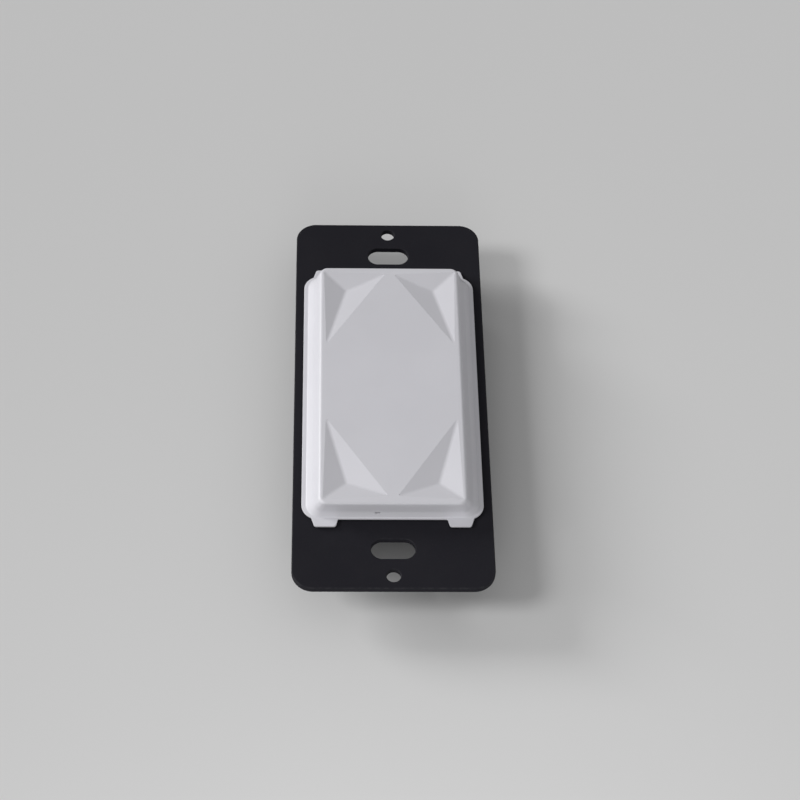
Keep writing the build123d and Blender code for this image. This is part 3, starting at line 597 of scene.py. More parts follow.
FINISHES: dict[Slot, Finish] = {
    Slot.COVER: MouldedPlastic(
        "satin_white_moulding", (0.74, 0.735, 0.78), 0.36, shade=(0.72, 0.715, 0.76), dust=0.03
    ),
    Slot.PLATE: PowderCoat("matt_black_powder_coat", (0.018, 0.0175, 0.0225), 0.55, 0.05, dust=0.04),
    Slot.HOUSING: MouldedPlastic(
        "black_eroded_moulding",
        (0.016, 0.016, 0.018),
        0.55,
        shade=(0.02, 0.02, 0.022),
        grain_scale=3600.0,
        grain_height=0.04 * MM,
        grain_strength=0.6,
        dust=0.04,
        dust_colour=(0.14, 0.135, 0.13),
    ),
    Slot.PIPE: ClearPlastic("clear_acrylic", (0.8, 0.82, 0.83), 0.12),
    Slot.BOARD: SolderMask("green_solder_mask", (0.012, 0.09, 0.04), 0.28),
    Slot.SWITCH: MouldedPlastic(
        "black_switch_moulding", (0.02, 0.02, 0.02), 0.45, shade=(0.024, 0.024, 0.024)
    ),
    Slot.SHEET: SheetMetal("tinned_steel", (0.62, 0.62, 0.6), 0.34),
    Slot.SPRING: SheetMetal("spring_steel_strip", (0.6, 0.58, 0.54), 0.26, tarnish=(0.5, 0.46, 0.38)),
    Slot.LAMP: MouldedPlastic(
        "milky_lamp_resin", (0.78, 0.75, 0.6), 0.25, shade=(0.74, 0.7, 0.55), dust=0.0
    ),
    Slot.CHIP: MouldedPlastic(
        "chip_moulding", (0.022, 0.022, 0.025), 0.5, shade=(0.028, 0.028, 0.03), dust=0.0
    ),
    Slot.CERAMIC: MouldedPlastic(
        "fired_ceramic", (0.42, 0.29, 0.18), 0.4, shade=(0.36, 0.25, 0.15), dust=0.0
    ),
    Slot.RESERVOIR: MouldedPlastic(
        "amber_moulding", (0.6, 0.36, 0.06), 0.4, shade=(0.52, 0.3, 0.05), dust=0.0
    ),
    Slot.CONTACT: SheetMetal("nickel_plate", (0.66, 0.63, 0.56), 0.24, tarnish=(0.52, 0.48, 0.4)),
    Slot.HOLDER: MouldedPlastic("holder_moulding", (0.02, 0.02, 0.021), 0.5, shade=(0.025, 0.025, 0.026)),
    Slot.CELL: SheetMetal("nickelled_can", (0.64, 0.64, 0.62), 0.22, tarnish=(0.55, 0.54, 0.5)),
    Slot.SCREW: SheetMetal("zinc_plate", (0.5, 0.51, 0.53), 0.32, tarnish=(0.36, 0.36, 0.35)),
}


# Modelling helpers: all of them work in millimetres, and finish_piece turns the mesh to metres


def edges_at(verts: Iterable[BMVert]) -> list[BMEdge]:
    """Pick the edges that meet at some vertices, always in the same order."""
    return list(dict.fromkeys(edge for vert in verts for edge in vert.link_edges))


@dataclass(frozen=True)
class Ring:
    """A rounded rectangle in a level plane: a circle or a slot where the corner is half a side.

    Attributes:
        width: size along X.
        length: size along Y.
        corner: corner radius.
        level: height of its plane.
        x: centre along X.
        y: centre along Y.
        steps: points in each corner.
    """

    width: float
    length: float
    corner: float
    level: float
    x: float = 0.0
    y: float = 0.0
    steps: int = 12

    @classmethod
    def circle(cls, diameter: float, level: float, x: float = 0.0, y: float = 0.0, steps: int = 9) -> "Ring":
        """Give a circle as a ring."""
        return cls(diameter, diameter, diameter / 2, level, x, y, steps)

    def at(self, level: float) -> "Ring":
        """Give the same ring at another level."""
        return replace(self, level=level)

    def mirrored(self, side: int, end: int) -> "Ring":
        """Give the same ring at another side along X and end along Y."""
        return replace(self, x=side * self.x, y=end * self.y)

    def grown(self, amount: float, level: float) -> "Ring":
        """Give the ring that lies outside this one by an amount, at another level.

        Args:
            amount: distance outwards, negative for inwards.
            level: height of the new ring's plane.

        Returns:
            The new ring.
        """
        size = (self.width + 2 * amount, self.length + 2 * amount, max(self.corner + amount, SMALLEST_CORNER))
        return Ring(*size, level, self.x, self.y, self.steps)

    def towards(self, other: "Ring", share: float) -> "Ring":
        """Give the ring part of the way to another one.

        Args:
            other: ring at the far end.
            share: how far along, 0 for this ring and 1 for the other.

        Returns:
            The ring between them.
        """
        sizes = {
            key: getattr(self, key) + share * (getattr(other, key) - getattr(self, key))
            for key in ("width", "length", "corner", "level")
        }
        return replace(self, **sizes)

    def draw(self, mesh: BMesh) -> list[BMEdge]:
        """Draw the ring as a closed loop of edges.

        Args:
            mesh: mesh that gets it.

        Returns:
            Its edges.
        """
        turn = math.pi / (4 * self.steps)
        made = bmesh.ops.create_circle(
            mesh,
            cap_ends=False,
            radius=self.corner / math.cos(turn),
            segments=4 * self.steps,
            matrix=Matrix.Rotation(turn, 4, "Z"),
        )
        corners: dict[tuple[int, int], list[BMVert]] = {}
        for vert in made["verts"]:
            corners.setdefault((1 if vert.co.x > 0 else -1, 1 if vert.co.y > 0 else -1), []).append(vert)
        for (side, end), verts in corners.items():
            shift = (
                self.x + side * (self.width / 2 - self.corner),
                self.y + end * (self.length / 2 - self.corner),
                self.level,
            )
            bmesh.ops.translate(mesh, verts=verts, vec=shift)
        return edges_at(made["verts"])


def skin(mesh: BMesh, rings: Iterable[Ring]) -> list[list[BMEdge]]:
    """Draw rings and stretch a skin over them, one after another.

    Args:
        mesh: mesh that gets them.
        rings: rings with as many points each.

    Returns:
        The edges of each ring.
    """
    loops = [ring.draw(mesh) for ring in rings]
    for first, second in zip(loops, loops[1:]):
        bmesh.ops.bridge_loops(mesh, edges=first + second)
    return loops


def eased(first: Ring, middle: Ring, last: Ring, steps: int) -> list[Ring]:
    """Give rings that round off the bend between two slopes.

    Args:
        first: ring where the round starts.
        middle: ring at the bend.
        last: ring where the round ends.
        steps: stretches in the round.

    Returns:
        The rings of the round, both ends among them.
    """
    shares = [number / steps for number in range(steps + 1)]
    return [first.towards(middle, share).towards(middle.towards(last, share), share) for share in shares]


def hem(edge: Ring, inward: float, upward: float, radius: float, steps: int = 4) -> list[Ring]:
    """Give rings that turn a side round an edge into the flat beside it.

    Args:
        edge: the sharp edge.
        inward: 1 where the flat lies inside the edge, -1 where it lies outside.
        upward: 1 where the flat is the upper side of the sheet, -1 where it is the lower.
        radius: size of the round.
        steps: stretches in the round.

    Returns:
        The rings from the side to the flat.
    """
    on_side = edge.at(edge.level - upward * radius)
    on_flat = edge.grown(-inward * radius, edge.level)
    return eased(on_side, edge, on_flat, steps)


def fill(mesh: BMesh, *levels: float) -> None:
    """Fill the flat areas between all open edges that lie at some levels.

    Args:
        mesh: mesh that holds them.
        levels: height of each area.
    """
    for level in levels:
        edges = [
            edge
            for edge in mesh.edges
            if len(edge.link_faces) < 2 and all(abs(vert.co.z - level) < MERGE for vert in edge.verts)
        ]
        bmesh.ops.triangle_fill(mesh, use_beauty=True, use_dissolve=False, edges=edges, normal=(0, 0, 1))


def bevel(
    mesh: BMesh, geometry: Iterable[BMVert | BMEdge], size: float, segments: int, affect: str = "EDGES"
) -> None:
    """Round edges or corners.

    Args:
        mesh: mesh that holds them.
        geometry: the edges, or the corners' vertices.
        size: size of the round.
        segments: stretches in the round.
        affect: EDGES or VERTICES.
    """
    bmesh.ops.bevel(
        mesh, geom=list(geometry), offset=size, segments=segments, profile=0.5, affect=affect, material=-1
    )


def vertices(geometry: Iterable[BMVert | BMEdge | BMFace]) -> list[BMVert]:
    """Pick the vertices out of what an operator made."""
    return [part for part in geometry if isinstance(part, BMVert)]


def broad_faces(mesh: BMesh, count: int) -> list[BMFace]:
    """Pick the broadest faces of a mesh."""
    return sorted(mesh.faces, key=lambda face: face.calc_area())[-count:]


def mesh_data(mesh: BMesh, name: str) -> bpy.types.Mesh:
    """Turn a bmesh, which is freed, into named mesh data."""
    data = bpy.data.meshes.new(name)
    mesh.to_mesh(data)
    mesh.free()
    return data


def add_object(name: str, data: bpy.types.ID) -> bpy.types.Object:
    """Add an object with its data to the scene."""
    made = bpy.data.objects.new(name, data)
    bpy.context.scene.collection.objects.link(made)
    return made


def join(mesh: BMesh, other: BMesh) -> None:
    """Add the second bmesh to the first, and free the second."""
    data = mesh_data(other, "joined")
    mesh.from_mesh(data)
    bpy.data.meshes.remove(data)


def edge_strength(vert: BMVert) -> float:
    """Measure how far a vertex lies on a rounded edge.

    Args:
        vert: vertex of a mesh in millimetres.

    Returns:
        0 beside a broad face, and up to 1 on the middle of a tight round.
    """
    widths = [face.calc_area() / max(edge.calc_length() for edge in face.edges) for face in vert.link_faces]
    if max(widths, default=1.0) > BROAD_FACE:
        return 0.0
    angle = math.degrees(max((edge.calc_face_angle(0.0) for edge in vert.link_edges), default=0.0))
    low, high = MASK_ANGLES
    return min(1.0, max(0.0, (angle - low) / (high - low)))


def finish_piece(
    mesh: BMesh, name: str, body: Body, slot: Slot, replaces: Sequence[str]
) -> bpy.types.Object:
    """Turn a bmesh into a finished piece of the object.

    Args:
        mesh: the modelled bmesh in millimetres, which is freed.
        name: name of the piece.
        body: body that it rides on.
        slot: material slot of its finish.
        replaces: CAD nodes that it stands for.

    Returns:
        The piece's object.
    """
    bmesh.ops.remove_doubles(mesh, verts=mesh.verts, dist=MERGE)
    bmesh.ops.recalc_face_normals(mesh, faces=mesh.faces)
    layer = mesh.verts.layers.float.new(EDGE_LAYER)
    for face in mesh.faces:
        face.smooth = True
    for edge in mesh.edges:
        edge.smooth = edge.calc_face_angle(0.0) < SHARP_ANGLE
    for vert in mesh.verts:
        vert[layer] = edge_strength(vert)
    open_edges = sum(not edge.is_manifold for edge in mesh.edges)
    if open_edges:
        log.warning("piece %s has %d open edges", name, open_edges)
    bmesh.ops.scale(mesh, vec=(MM, MM, MM), verts=mesh.verts)
    data = mesh_data(mesh, name)
    piece = add_object(name, data)
    data.materials.append(FINISHES[slot].material())
    weighted = piece.modifiers.new("weighted_normals", "WEIGHTED_NORMAL")
    weighted.keep_sharp = True
    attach(piece, body.value)
    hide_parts(*replaces)
    log.info("piece %s: %d faces", name, len(data.polygons))
    return piece


def cut(mesh: BMesh, cutter: BMesh) -> BMesh:
    """Cut one closed bmesh out of another.

    Args:
        mesh: what is cut, which is freed.
        cutter: what is taken out of it, which is freed.

    Returns:
        The cut bmesh.
    """
    work, tool = (add_object("blank", mesh_data(part, "blank")) for part in (mesh, cutter))
    boolean = work.modifiers.new("cut", "BOOLEAN")
    boolean.operation = "DIFFERENCE"
    boolean.solver = "EXACT"
    boolean.object = tool
    result = bmesh.new()
    result.from_object(work, bpy.context.evaluated_depsgraph_get())
    for blank in (work, tool):
        data = blank.data
        bpy.data.objects.remove(blank)
        bpy.data.meshes.remove(data)
    return result


def block(
    mesh: BMesh, size: tuple[float, float, float], centre: tuple[float, float, float], edge: float
) -> None:
    """Add a block with rounded edges.

    Args:
        mesh: mesh that gets it.
        size: its sides.
        centre: its middle.
        edge: size of its edge round.
    """
    matrix = Matrix.Translation(centre) @ Matrix.Diagonal((*size, 1.0))
    made = bmesh.ops.create_cube(mesh, size=1.0, matrix=matrix)
    bevel(mesh, edges_at(made["verts"]), edge, 2)


# Touch cover


@dataclass(frozen=True)
class FacetedCover:
    """The white touch cover: a thin moulding with a faceted face, over a rim with four feet.

    Attributes:
        rim: outline of the rim, at its upper side.
        rim_thickness: thickness of the rim and the feet.
        rim_edge: size of the round along the rim's edges.
        skirt: wall where it meets the rim.
        flare: wall where its slope changes.
        face: wall where it meets the face.
        skirt_bend: reach of the bend at the rim: onto the rim, and up the wall as a share.
        flare_bend: start and end of the bend at the flare, as shares of the walls below and above.
        face_bend: start of the bend at the face, as a share of the wall, and its reach onto the face.
        wall: thickness of the moulding.
        overlap: how far pads, ribs and hooks reach into the ceiling.
        foot_root: inner and outer place of a foot where it leaves the rim.
        foot_inset: how far inside the rim's end a foot's outer side starts.
        foot_tip: inner and outer place of a foot at its tip.
        foot_reach: end of the feet along Y.
        foot_rounds: size of the rounds at a foot's tip and at its inner root.
        mouth: corners of one recess in the face.
        low: lowest point of that recess.
        span: about how far the lowest point lies inside the mouth.
        depth: depth of the recesses.
        crease: half width of the round along a recess's mouth.
        crease_steps: stretches in that round.
        valley: half width of the round where two facets meet.
        slit_x: place of the indicator slit.
        slit_level: height of the slit.
        slit_size: width and height of the slit.
        slit_cut: distances from the middle between which the slit is cut.
        pad_y: place of a press pad.
        pad_level: lower end of the pads.
        pad_radius: radius of the pads.
        pad_edge: size of the round along a pad's end.
        rib_depth: depth of the ribs.
        rib_thickness: thickness of the ribs.
        rib_edge: size of the round along a rib's edges.
        long_rib: place and length of the ribs along Y.
        cross_rib: place and length of the ribs along X.
        hook: place of a snap hook.
        hook_size: thickness and width of a hook.
        hook_ends: level of the barb's shoulder and of the hook's end.
        barb: reach and height of the barb.
    """

    rim: Ring = Ring(40.4, 68.9, 3.7, 2.35)
    rim_thickness: float = 0.5
    rim_edge: float = 0.12
    skirt: Ring = Ring(38.4, 68.2, 3.3, 2.35)
    flare: Ring = Ring(35.7, 67.1, 2.5, 3.8)
    face: Ring = Ring(32.6, 67.0, 1.8, 7.0)
    skirt_bend: tuple[float, float] = (0.2, 0.14)
    flare_bend: tuple[float, float] = (0.74, 0.12)
    face_bend: tuple[float, float] = (0.8, 0.6)
    wall: float = 1.2
    overlap: float = 0.1
    foot_root: tuple[float, float] = (12.1, 18.4)
    foot_inset: float = 1.5
    foot_tip: tuple[float, float] = (12.6, 17.3)
    foot_reach: float = 36.4
    foot_rounds: tuple[float, float] = (0.45, 0.25)
    mouth: tuple[tuple[float, float], ...] = ((15.5, 32.2), (1.1, 31.4), (14.9, 10.4))
    low: tuple[float, float] = (10.3, 27.3)
    span: float = 5.0
    depth: float = 1.35
    crease: float = 0.3
    crease_steps: int = 5
    valley: float = 0.45
    slit_x: float = -3.4
    slit_level: float = 3.5
    slit_size: tuple[float, float] = (1.3, 0.45)
    slit_cut: tuple[float, float] = (30.0, 36.0)
    pad_y: float = 14.0
    pad_level: float = 4.62
    pad_radius: float = 2.5
    pad_edge: float = 0.15
    rib_depth: float = 0.9
    rib_thickness: float = 0.8
    rib_edge: float = 0.08
    long_rib: tuple[float, float] = (6.0, 40.0)
    cross_rib: tuple[float, float] = (4.0, 28.0)
    hook: tuple[float, float] = (10.6, 11.5)
    hook_size: tuple[float, float] = (1.2, 6.0)
    hook_ends: tuple[float, float] = (0.25, -0.75)
    barb: tuple[float, float] = (0.7, 0.4)

    def build(self) -> None:
        """Make the cover's moulding and its fastenings as one piece."""
        shell = bmesh.new()
        ceiling, bottom = self.ceiling.level, self.rim.level - self.rim_thickness
        for side, end in CORNERS:
            self.recess(shell, self.face.level, self.crease, side, end)
            self.recess(shell, ceiling, 0.0, side, end)
        self.outer_wall(shell)
        self.inner_wall(shell)
        self.rim_band(shell)
        fill(shell, self.face.level, ceiling, self.rim.level, bottom)
        bmesh.ops.remove_doubles(shell, verts=shell.verts, dist=MERGE)
        bmesh.ops.recalc_face_normals(shell, faces=shell.faces)
        shell = cut(shell, self.slit())
        self.pads_and_ribs(shell)
        self.hooks(shell)
        finish_piece(shell, "cover_shell", Body.COVER, Slot.COVER, ["touch_cover"])

    @property
    def ceiling(self) -> Ring:
        """Give the edge of the ceiling inside the wall."""
        level = self.face.level - self.wall
        share = (level - self.flare.level) / (self.face.level - self.flare.level)
        return self.flare.towards(self.face, share).grown(-self.wall, level)

    def recess(self, mesh: BMesh, level: float, crease: float, side: int, end: int) -> None:
        """Sink one corner recess below a level.

        Args:
            mesh: mesh that gets it.
            level: height of its mouth.
            crease: half width of the round at the mouth, 0 for a sharp one.
            side: 1 for the right-hand side, -1 for the left.
            end: 1 for the upper end, -1 for the lower.
        """
        known = set(mesh.verts)
        low = Vector((side * self.low[0], end * self.low[1], level - self.depth))
        space = Matrix.Translation((-low.x, -low.y, 0.0))
        mouth = [Vector((side * x, end * y, level)) for x, y in self.mouth]
        corners = [mesh.verts.new(place) for place in mouth]
        loop = [mesh.edges.new((corners[place - 1], corners[place])) for place in range(3)]
        reach = crease / self.span
        shares = [step / self.crease_steps for step in range(self.crease_steps + 1)] if crease else []
        stations = [(reach * (share**2 - (1 - share) ** 2), reach * share**2) for share in shares]
        scale, sunk, valleys = 1.0, 0.0, []
        for number, (share, drop) in enumerate(stations):
            if number:
                made = bmesh.ops.extrude_edge_only(mesh, edges=loop)["geom"]
                corners = vertices(made)
                loop = [part for part in made if isinstance(part, BMEdge) and set(part.verts) <= set(corners)]
                valleys += [edge for vert in corners for edge in vert.link_edges if edge not in loop]
            ratio = (1 - share) / scale
            bmesh.ops.scale(mesh, vec=(ratio, ratio, 1.0), space=space, verts=corners)
            bmesh.ops.translate(mesh, vec=(0.0, 0.0, (sunk - drop) * self.depth), verts=corners)
            scale, sunk = 1 - share, drop
        floor = bmesh.ops.contextual_create(mesh, geom=loop)["faces"]
        apex = bmesh.ops.poke(mesh, faces=floor)["verts"][0]
        apex.co = low
        if crease:
            bevel(mesh, [*valleys, *apex.link_edges], self.valley, 4)
            self.tuck_in(mesh, [vert for vert in mesh.verts if vert not in known], mouth)

    @staticmethod
    def tuck_in(mesh: BMesh, verts: list[BMVert], mouth: list[Vector]) -> None:
        """Bring the points that a recess's rounds push past its mouth back to the mouth's edge.

        Args:
            mesh: mesh that holds the recess.
            verts: the recess's points.
            mouth: the three corners of its mouth.
        """
        for vert in verts:
            above = Vector((vert.co.x, vert.co.y, mouth[0].z))
            nearest = closest_point_on_tri(above, *mouth)
            if (nearest - above).length > TOUCHING:
                vert.co = nearest
            vert.co.z = min(vert.co.z, mouth[0].z)
        bmesh.ops.dissolve_degenerate(mesh, dist=SPECK, edges=edges_at(verts))

    def outer_wall(self, mesh: BMesh) -> None:
        """Raise the outer wall from the rim to the face, with soft bends."""
        skirt, flare, face = self.skirt, self.flare, self.face
        outward, up = self.skirt_bend
        before, after = self.flare_bend
        start, inward = self.face_bend
        rings = [
            *eased(skirt.grown(outward, skirt.level), skirt, skirt.towards(flare, up), 3),
            *eased(skirt.towards(flare, before), flare, flare.towards(face, after), 5),
            *eased(flare.towards(face, start), face, face.grown(-inward, face.level), 7),
        ]
        skin(mesh, rings)

    def inner_wall(self, mesh: BMesh) -> None:
        """Line the space under the cover."""
        bottom = self.rim.level - self.rim_thickness
        share = (bottom - self.skirt.level) / (self.flare.level - self.skirt.level)
        mouth = self.skirt.towards(self.flare, share).grown(-self.wall, bottom)
        bend = self.flare.grown(-self.wall, self.flare.level)
        skin(mesh, [mouth, bend, self.ceiling])

    def rim_band(self, mesh: BMesh) -> None:
        """Make the edge of the rim and its feet, open above and below."""
        band = bmesh.new()
        half_width, half_length, corner = self.rim.width / 2, self.rim.length / 2, self.rim.corner
        centre = Vector((half_width - corner, corner - half_length))
        root = Vector((self.foot_root[1], self.foot_inset - half_length))
        tip = Vector((self.foot_tip[1], -self.foot_reach))
        crossings = intersect_line_sphere_2d(root, tip, centre, corner)
        meeting = next(point for point in crossings if point is not None) - centre
        start = band.verts.new((half_width, centre.y, self.rim.level))
        arc = bmesh.ops.spin(
            band,
            geom=[start],
            cent=(*centre, self.rim.level),
            axis=(0.0, 0.0, 1.0),
            angle=math.atan2(meeting.y, meeting.x),
            steps=8,
        )
        last = vertices(arc["geom_last"])[0]
        for x, y in (tip, (self.foot_tip[0], -self.foot_reach), (self.foot_root[0], -half_length)):
            following = band.verts.new((x, y, self.rim.level))
            band.edges.new((last, following))
            last = following
        for axis in ("X", "Y"):
            geometry = [*band.verts, *band.edges]
            bmesh.ops.mirror(band, geom=geometry, matrix=Matrix.Identity(4), merge_dist=TOUCHING, axis=axis)
        ends = [vert for vert in band.verts if len(vert.link_edges) == 1]
        for first in ends:
            for other in ends:
                axis = 0 if abs(first.co.x) > self.foot_tip[1] else 1
                facing = first is not other and first.co[axis] == other.co[axis]
                if facing and band.edges.get((first, other)) is None:
                    band.edges.new((first, other))
        bmesh.ops.contextual_create(band, geom=list(band.edges))
        tips = [vert for vert in band.verts if abs(abs(vert.co.y) - self.foot_reach) < MERGE]
        roots = [vert for vert in band.verts if abs(abs(vert.co.x) - self.foot_root[0]) < MERGE]
        for size, chosen in zip(self.foot_rounds, (tips, roots)):
            bevel(band, chosen, size, 5, "VERTICES")
        made = bmesh.ops.extrude_face_region(band, geom=band.faces[:1])["geom"]
        bmesh.ops.translate(band, vec=(0.0, 0.0, -self.rim_thickness), verts=vertices(made))
        bevel(band, [edge for cap in broad_faces(band, 2) for edge in cap.edges], self.rim_edge, 3)
        bmesh.ops.delete(band, geom=broad_faces(band, 2), context="FACES_ONLY")
        join(mesh, band)

    def slit(self) -> BMesh:
        """Make the closed cutter of the indicator slit in the lower end wall."""
        width, height = self.slit_size
        cutter = bmesh.new()
        skin(cutter, [Ring(width, height, height / 2, level, steps=5) for level in self.slit_cut])
        fill(cutter, *self.slit_cut)
        forward = Matrix.Rotation(math.pi / 2, 3, "X")
        bmesh.ops.rotate(cutter, verts=cutter.verts, cent=(0.0, 0.0, 0.0), matrix=forward)
        bmesh.ops.translate(cutter, verts=cutter.verts, vec=(self.slit_x, 0.0, self.slit_level))
        bmesh.ops.recalc_face_normals(cutter, faces=cutter.faces)
        return cutter

    def pads_and_ribs(self, mesh: BMesh) -> None:
        """Add the press pads and the crossed ribs under the ceiling."""
        top = self.ceiling.level + self.overlap
        height = top - self.pad_level
        for end in (-1, 1):
            pad = bmesh.ops.create_cone(
                mesh,
                cap_ends=True,
                segments=32,
                radius1=self.pad_radius,
                radius2=self.pad_radius,
                depth=height,
                matrix=Matrix.Translation((0.0, end * self.pad_y, self.pad_level + height / 2)),
            )
            lower = {vert for vert in pad["verts"] if abs(vert.co.z - self.pad_level) < MERGE}
            foot = [edge for edge in edges_at(pad["verts"]) if set(edge.verts) <= lower]
            bevel(mesh, foot, self.pad_edge, 3)
        depth = self.rib_depth + self.overlap
        middle = top - depth / 2
        for side in (-1, 1):
            x, length = self.long_rib
            block(mesh, (self.rib_thickness, length, depth), (side * x, 0.0, middle), self.rib_edge)
            y, length = self.cross_rib
            block(mesh, (length, self.rib_thickness, depth), (0.0, side * y, middle), self.rib_edge)

    def hooks(self, mesh: BMesh) -> None:
        """Add the four snap hooks."""
        thickness, width = self.hook_size
        shoulder, bottom = self.hook_ends
        reach, height = self.barb
        top = self.ceiling.level + self.overlap
        inside, outside = self.hook[0] - thickness / 2, self.hook[0] + thickness / 2
        profile = [
            (inside, top),
            (outside, top),
            (outside, shoulder),
            (outside + reach, shoulder),
            (outside + reach, shoulder - height),
            (outside, bottom),
            (inside, bottom),
        ]
        for side, end in CORNERS:
            near = end * self.hook[1] - width / 2
            face = mesh.faces.new([mesh.verts.new((side * x, near, z)) for x, z in profile])
            made = bmesh.ops.extrude_face_region(mesh, geom=[face])["geom"]
            bmesh.ops.translate(mesh, vec=(0.0, width, 0.0), verts=vertices(made))


# Mounting plate


@dataclass(frozen=True)
class StrapPlate:
    """The black steel plate behind the cover, with its holes and its window.

    Attributes:
        outline: outline of the plate, at its front.
        front_edge: size of the round along the front edge.
        back_edge: size of the round along the back edge.
        hole_edge: size of the round along the holes' edges.
        window: opening behind the cover.
        cover_hole: hole for a cover plate's screw, at the upper end.
        box_slot: slot for a wall box's screw, at the upper end.
        housing_hole: hole for a housing screw, at the upper right.
    """

    outline: Ring = Ring(44.45, 103.4, 4.8, 1.5)
    front_edge: float = 0.3
    back_edge: float = 0.12
    hole_edge: float = 0.15
    window: Ring = Ring(27.0, 50.0, 2.0, 1.5, steps=6)
    cover_hole: Ring = Ring.circle(3.2, 1.5, y=48.42, steps=8)
    box_slot: Ring = Ring(9.8, 5.0, 2.5, 1.5, y=41.67, steps=10)
    housing_hole: Ring = Ring.circle(2.6, 1.5, x=15.0, y=29.0, steps=6)

    def build(self) -> None:
        """Make the plate."""
        mesh = bmesh.new()
        holes = [self.window]
        for end in (-1, 1):
            holes += [hole.mirrored(1, end) for hole in (self.cover_hole, self.box_slot)]
            holes += [self.housing_hole.mirrored(side, end) for side in (-1, 1)]
        self.edge(mesh, self.outline, 1.0, self.front_edge, self.back_edge)
        for hole in holes:
            self.edge(mesh, hole, -1.0, self.hole_edge, self.hole_edge)
        fill(mesh, self.outline.level, 0.0)
        finish_piece(mesh, "strap_plate", Body.BASE, Slot.PLATE, ["mounting_plate"])

    @staticmethod
    def edge(mesh: BMesh, outline: Ring, inward: float, front: float, back: float) -> None:
        """Make the cut side along an outline, rounded towards the front and the back.

        Args:
            mesh: mesh that gets it.
            outline: the outline, at the front.
            inward: 1 for the plate's own outline, -1 for a hole.
            front: size of the round at the front.
            back: size of the round at the back.
        """
        skin(mesh, [*reversed(hem(outline, inward, 1.0, front)), *hem(outline.at(0.0), inward, -1.0, back)])


# Battery door and screws


def cross_recess(
    mesh: BMesh, place: tuple[float, float, float], length: float, width: float, depth: float
) -> BMesh:
    """Cut a cross recess into a screw head that faces down.

    Args:
        mesh: the screw, which is freed.
        place: middle of the recess, on the face of the head.
        length: length of the cross's arms, end to end.
        width: width of the arms.
        depth: depth of the recess.

    Returns:
        The screw with its recess.
    """
    for size in ((length, width), (width, length)):
        cutter = bmesh.new()
        made = bmesh.ops.create_cube(cutter, size=1.0, matrix=Matrix.Diagonal((*size, 2 * depth, 1.0)))
        top = [vert for vert in made["verts"] if vert.co.z > 0]
        bmesh.ops.scale(cutter, vec=(CROSS_TAPER, CROSS_TAPER, 1.0), verts=top)
        bmesh.ops.translate(cutter, vec=place, verts=cutter.verts)
        mesh = cut(mesh, cutter)
    return mesh


@dataclass(frozen=True)
class DriveScrew:
    """A screw whose head faces down, turned from rings.

    Attributes:
        place: middle of the head's face.
        head: diameter of the head.
        head_height: height of the head.
        head_round: size of the round along the head's face.
        shank: diameter of the shank.
        length: length under the head.
        sunk: whether the head is a cone.
        cross: length, width and depth of the cross recess.
        tip: size of the slope round the shank's end.
    """

    place: tuple[float, float, float]
    head: float
    head_height: float
    head_round: float
    shank: float
    length: float
    sunk: bool
    cross: tuple[float, float, float]
    tip: float = 0.2

    def shape(self) -> BMesh:
        """Turn the screw and cut its cross.

        Returns:
            The screw's bmesh.
        """
        x, y, level = self.place
        face = Ring.circle(self.head, level, x, y)
        seat = face.at(level + self.head_height)
        neck = Ring.circle(self.shank, seat.level, x, y)
        end = neck.at(seat.level + self.length)
        rounded = reversed(hem(face, 1.0, -1.0, self.head_round, steps=5))
        sides = [neck] if self.sunk else [seat, neck]
        mesh = bmesh.new()
        skin(mesh, [*rounded, *sides, end.at(end.level - self.tip), end.grown(-self.tip, end.level)])
        fill(mesh, level, end.level)
        bmesh.ops.recalc_face_normals(mesh, faces=mesh.faces)
        return cross_recess(mesh, self.place, *self.cross)


@dataclass(frozen=True)
class RearFasteners:
    """The screws seen from behind: four that hold the tray, and one that holds its door.

    Attributes:
        tray_screw: the tray's screw at the upper right.
        door_screw: the door's screw.
    """

    tray_screw: DriveScrew = DriveScrew(
        (15.0, 29.0, -9.8), 4.6, 1.5, 0.35, 2.5, 9.8, sunk=False, cross=(2.8, 0.5, 0.5)
    )
    door_screw: DriveScrew = DriveScrew(
        (0.0, 14.1, -10.1), 3.4, 0.8, 0.08, 1.9, 3.15, sunk=True, cross=(2.0, 0.5, 0.5)
    )

    def build(self) -> None:
        """Make both groups of screws."""
        screws = bmesh.new()
        x, y, level = self.tray_screw.place
        for side, end in CORNERS:
            join(screws, replace(self.tray_screw, place=(side * x, end * y, level)).shape())
        finish_piece(screws, "rear_screws", Body.BASE, Slot.SCREW, ["housing_screws"])
        finish_piece(self.door_screw.shape(), "door_fastener", Body.BASE, Slot.SCREW, ["door_screw"])


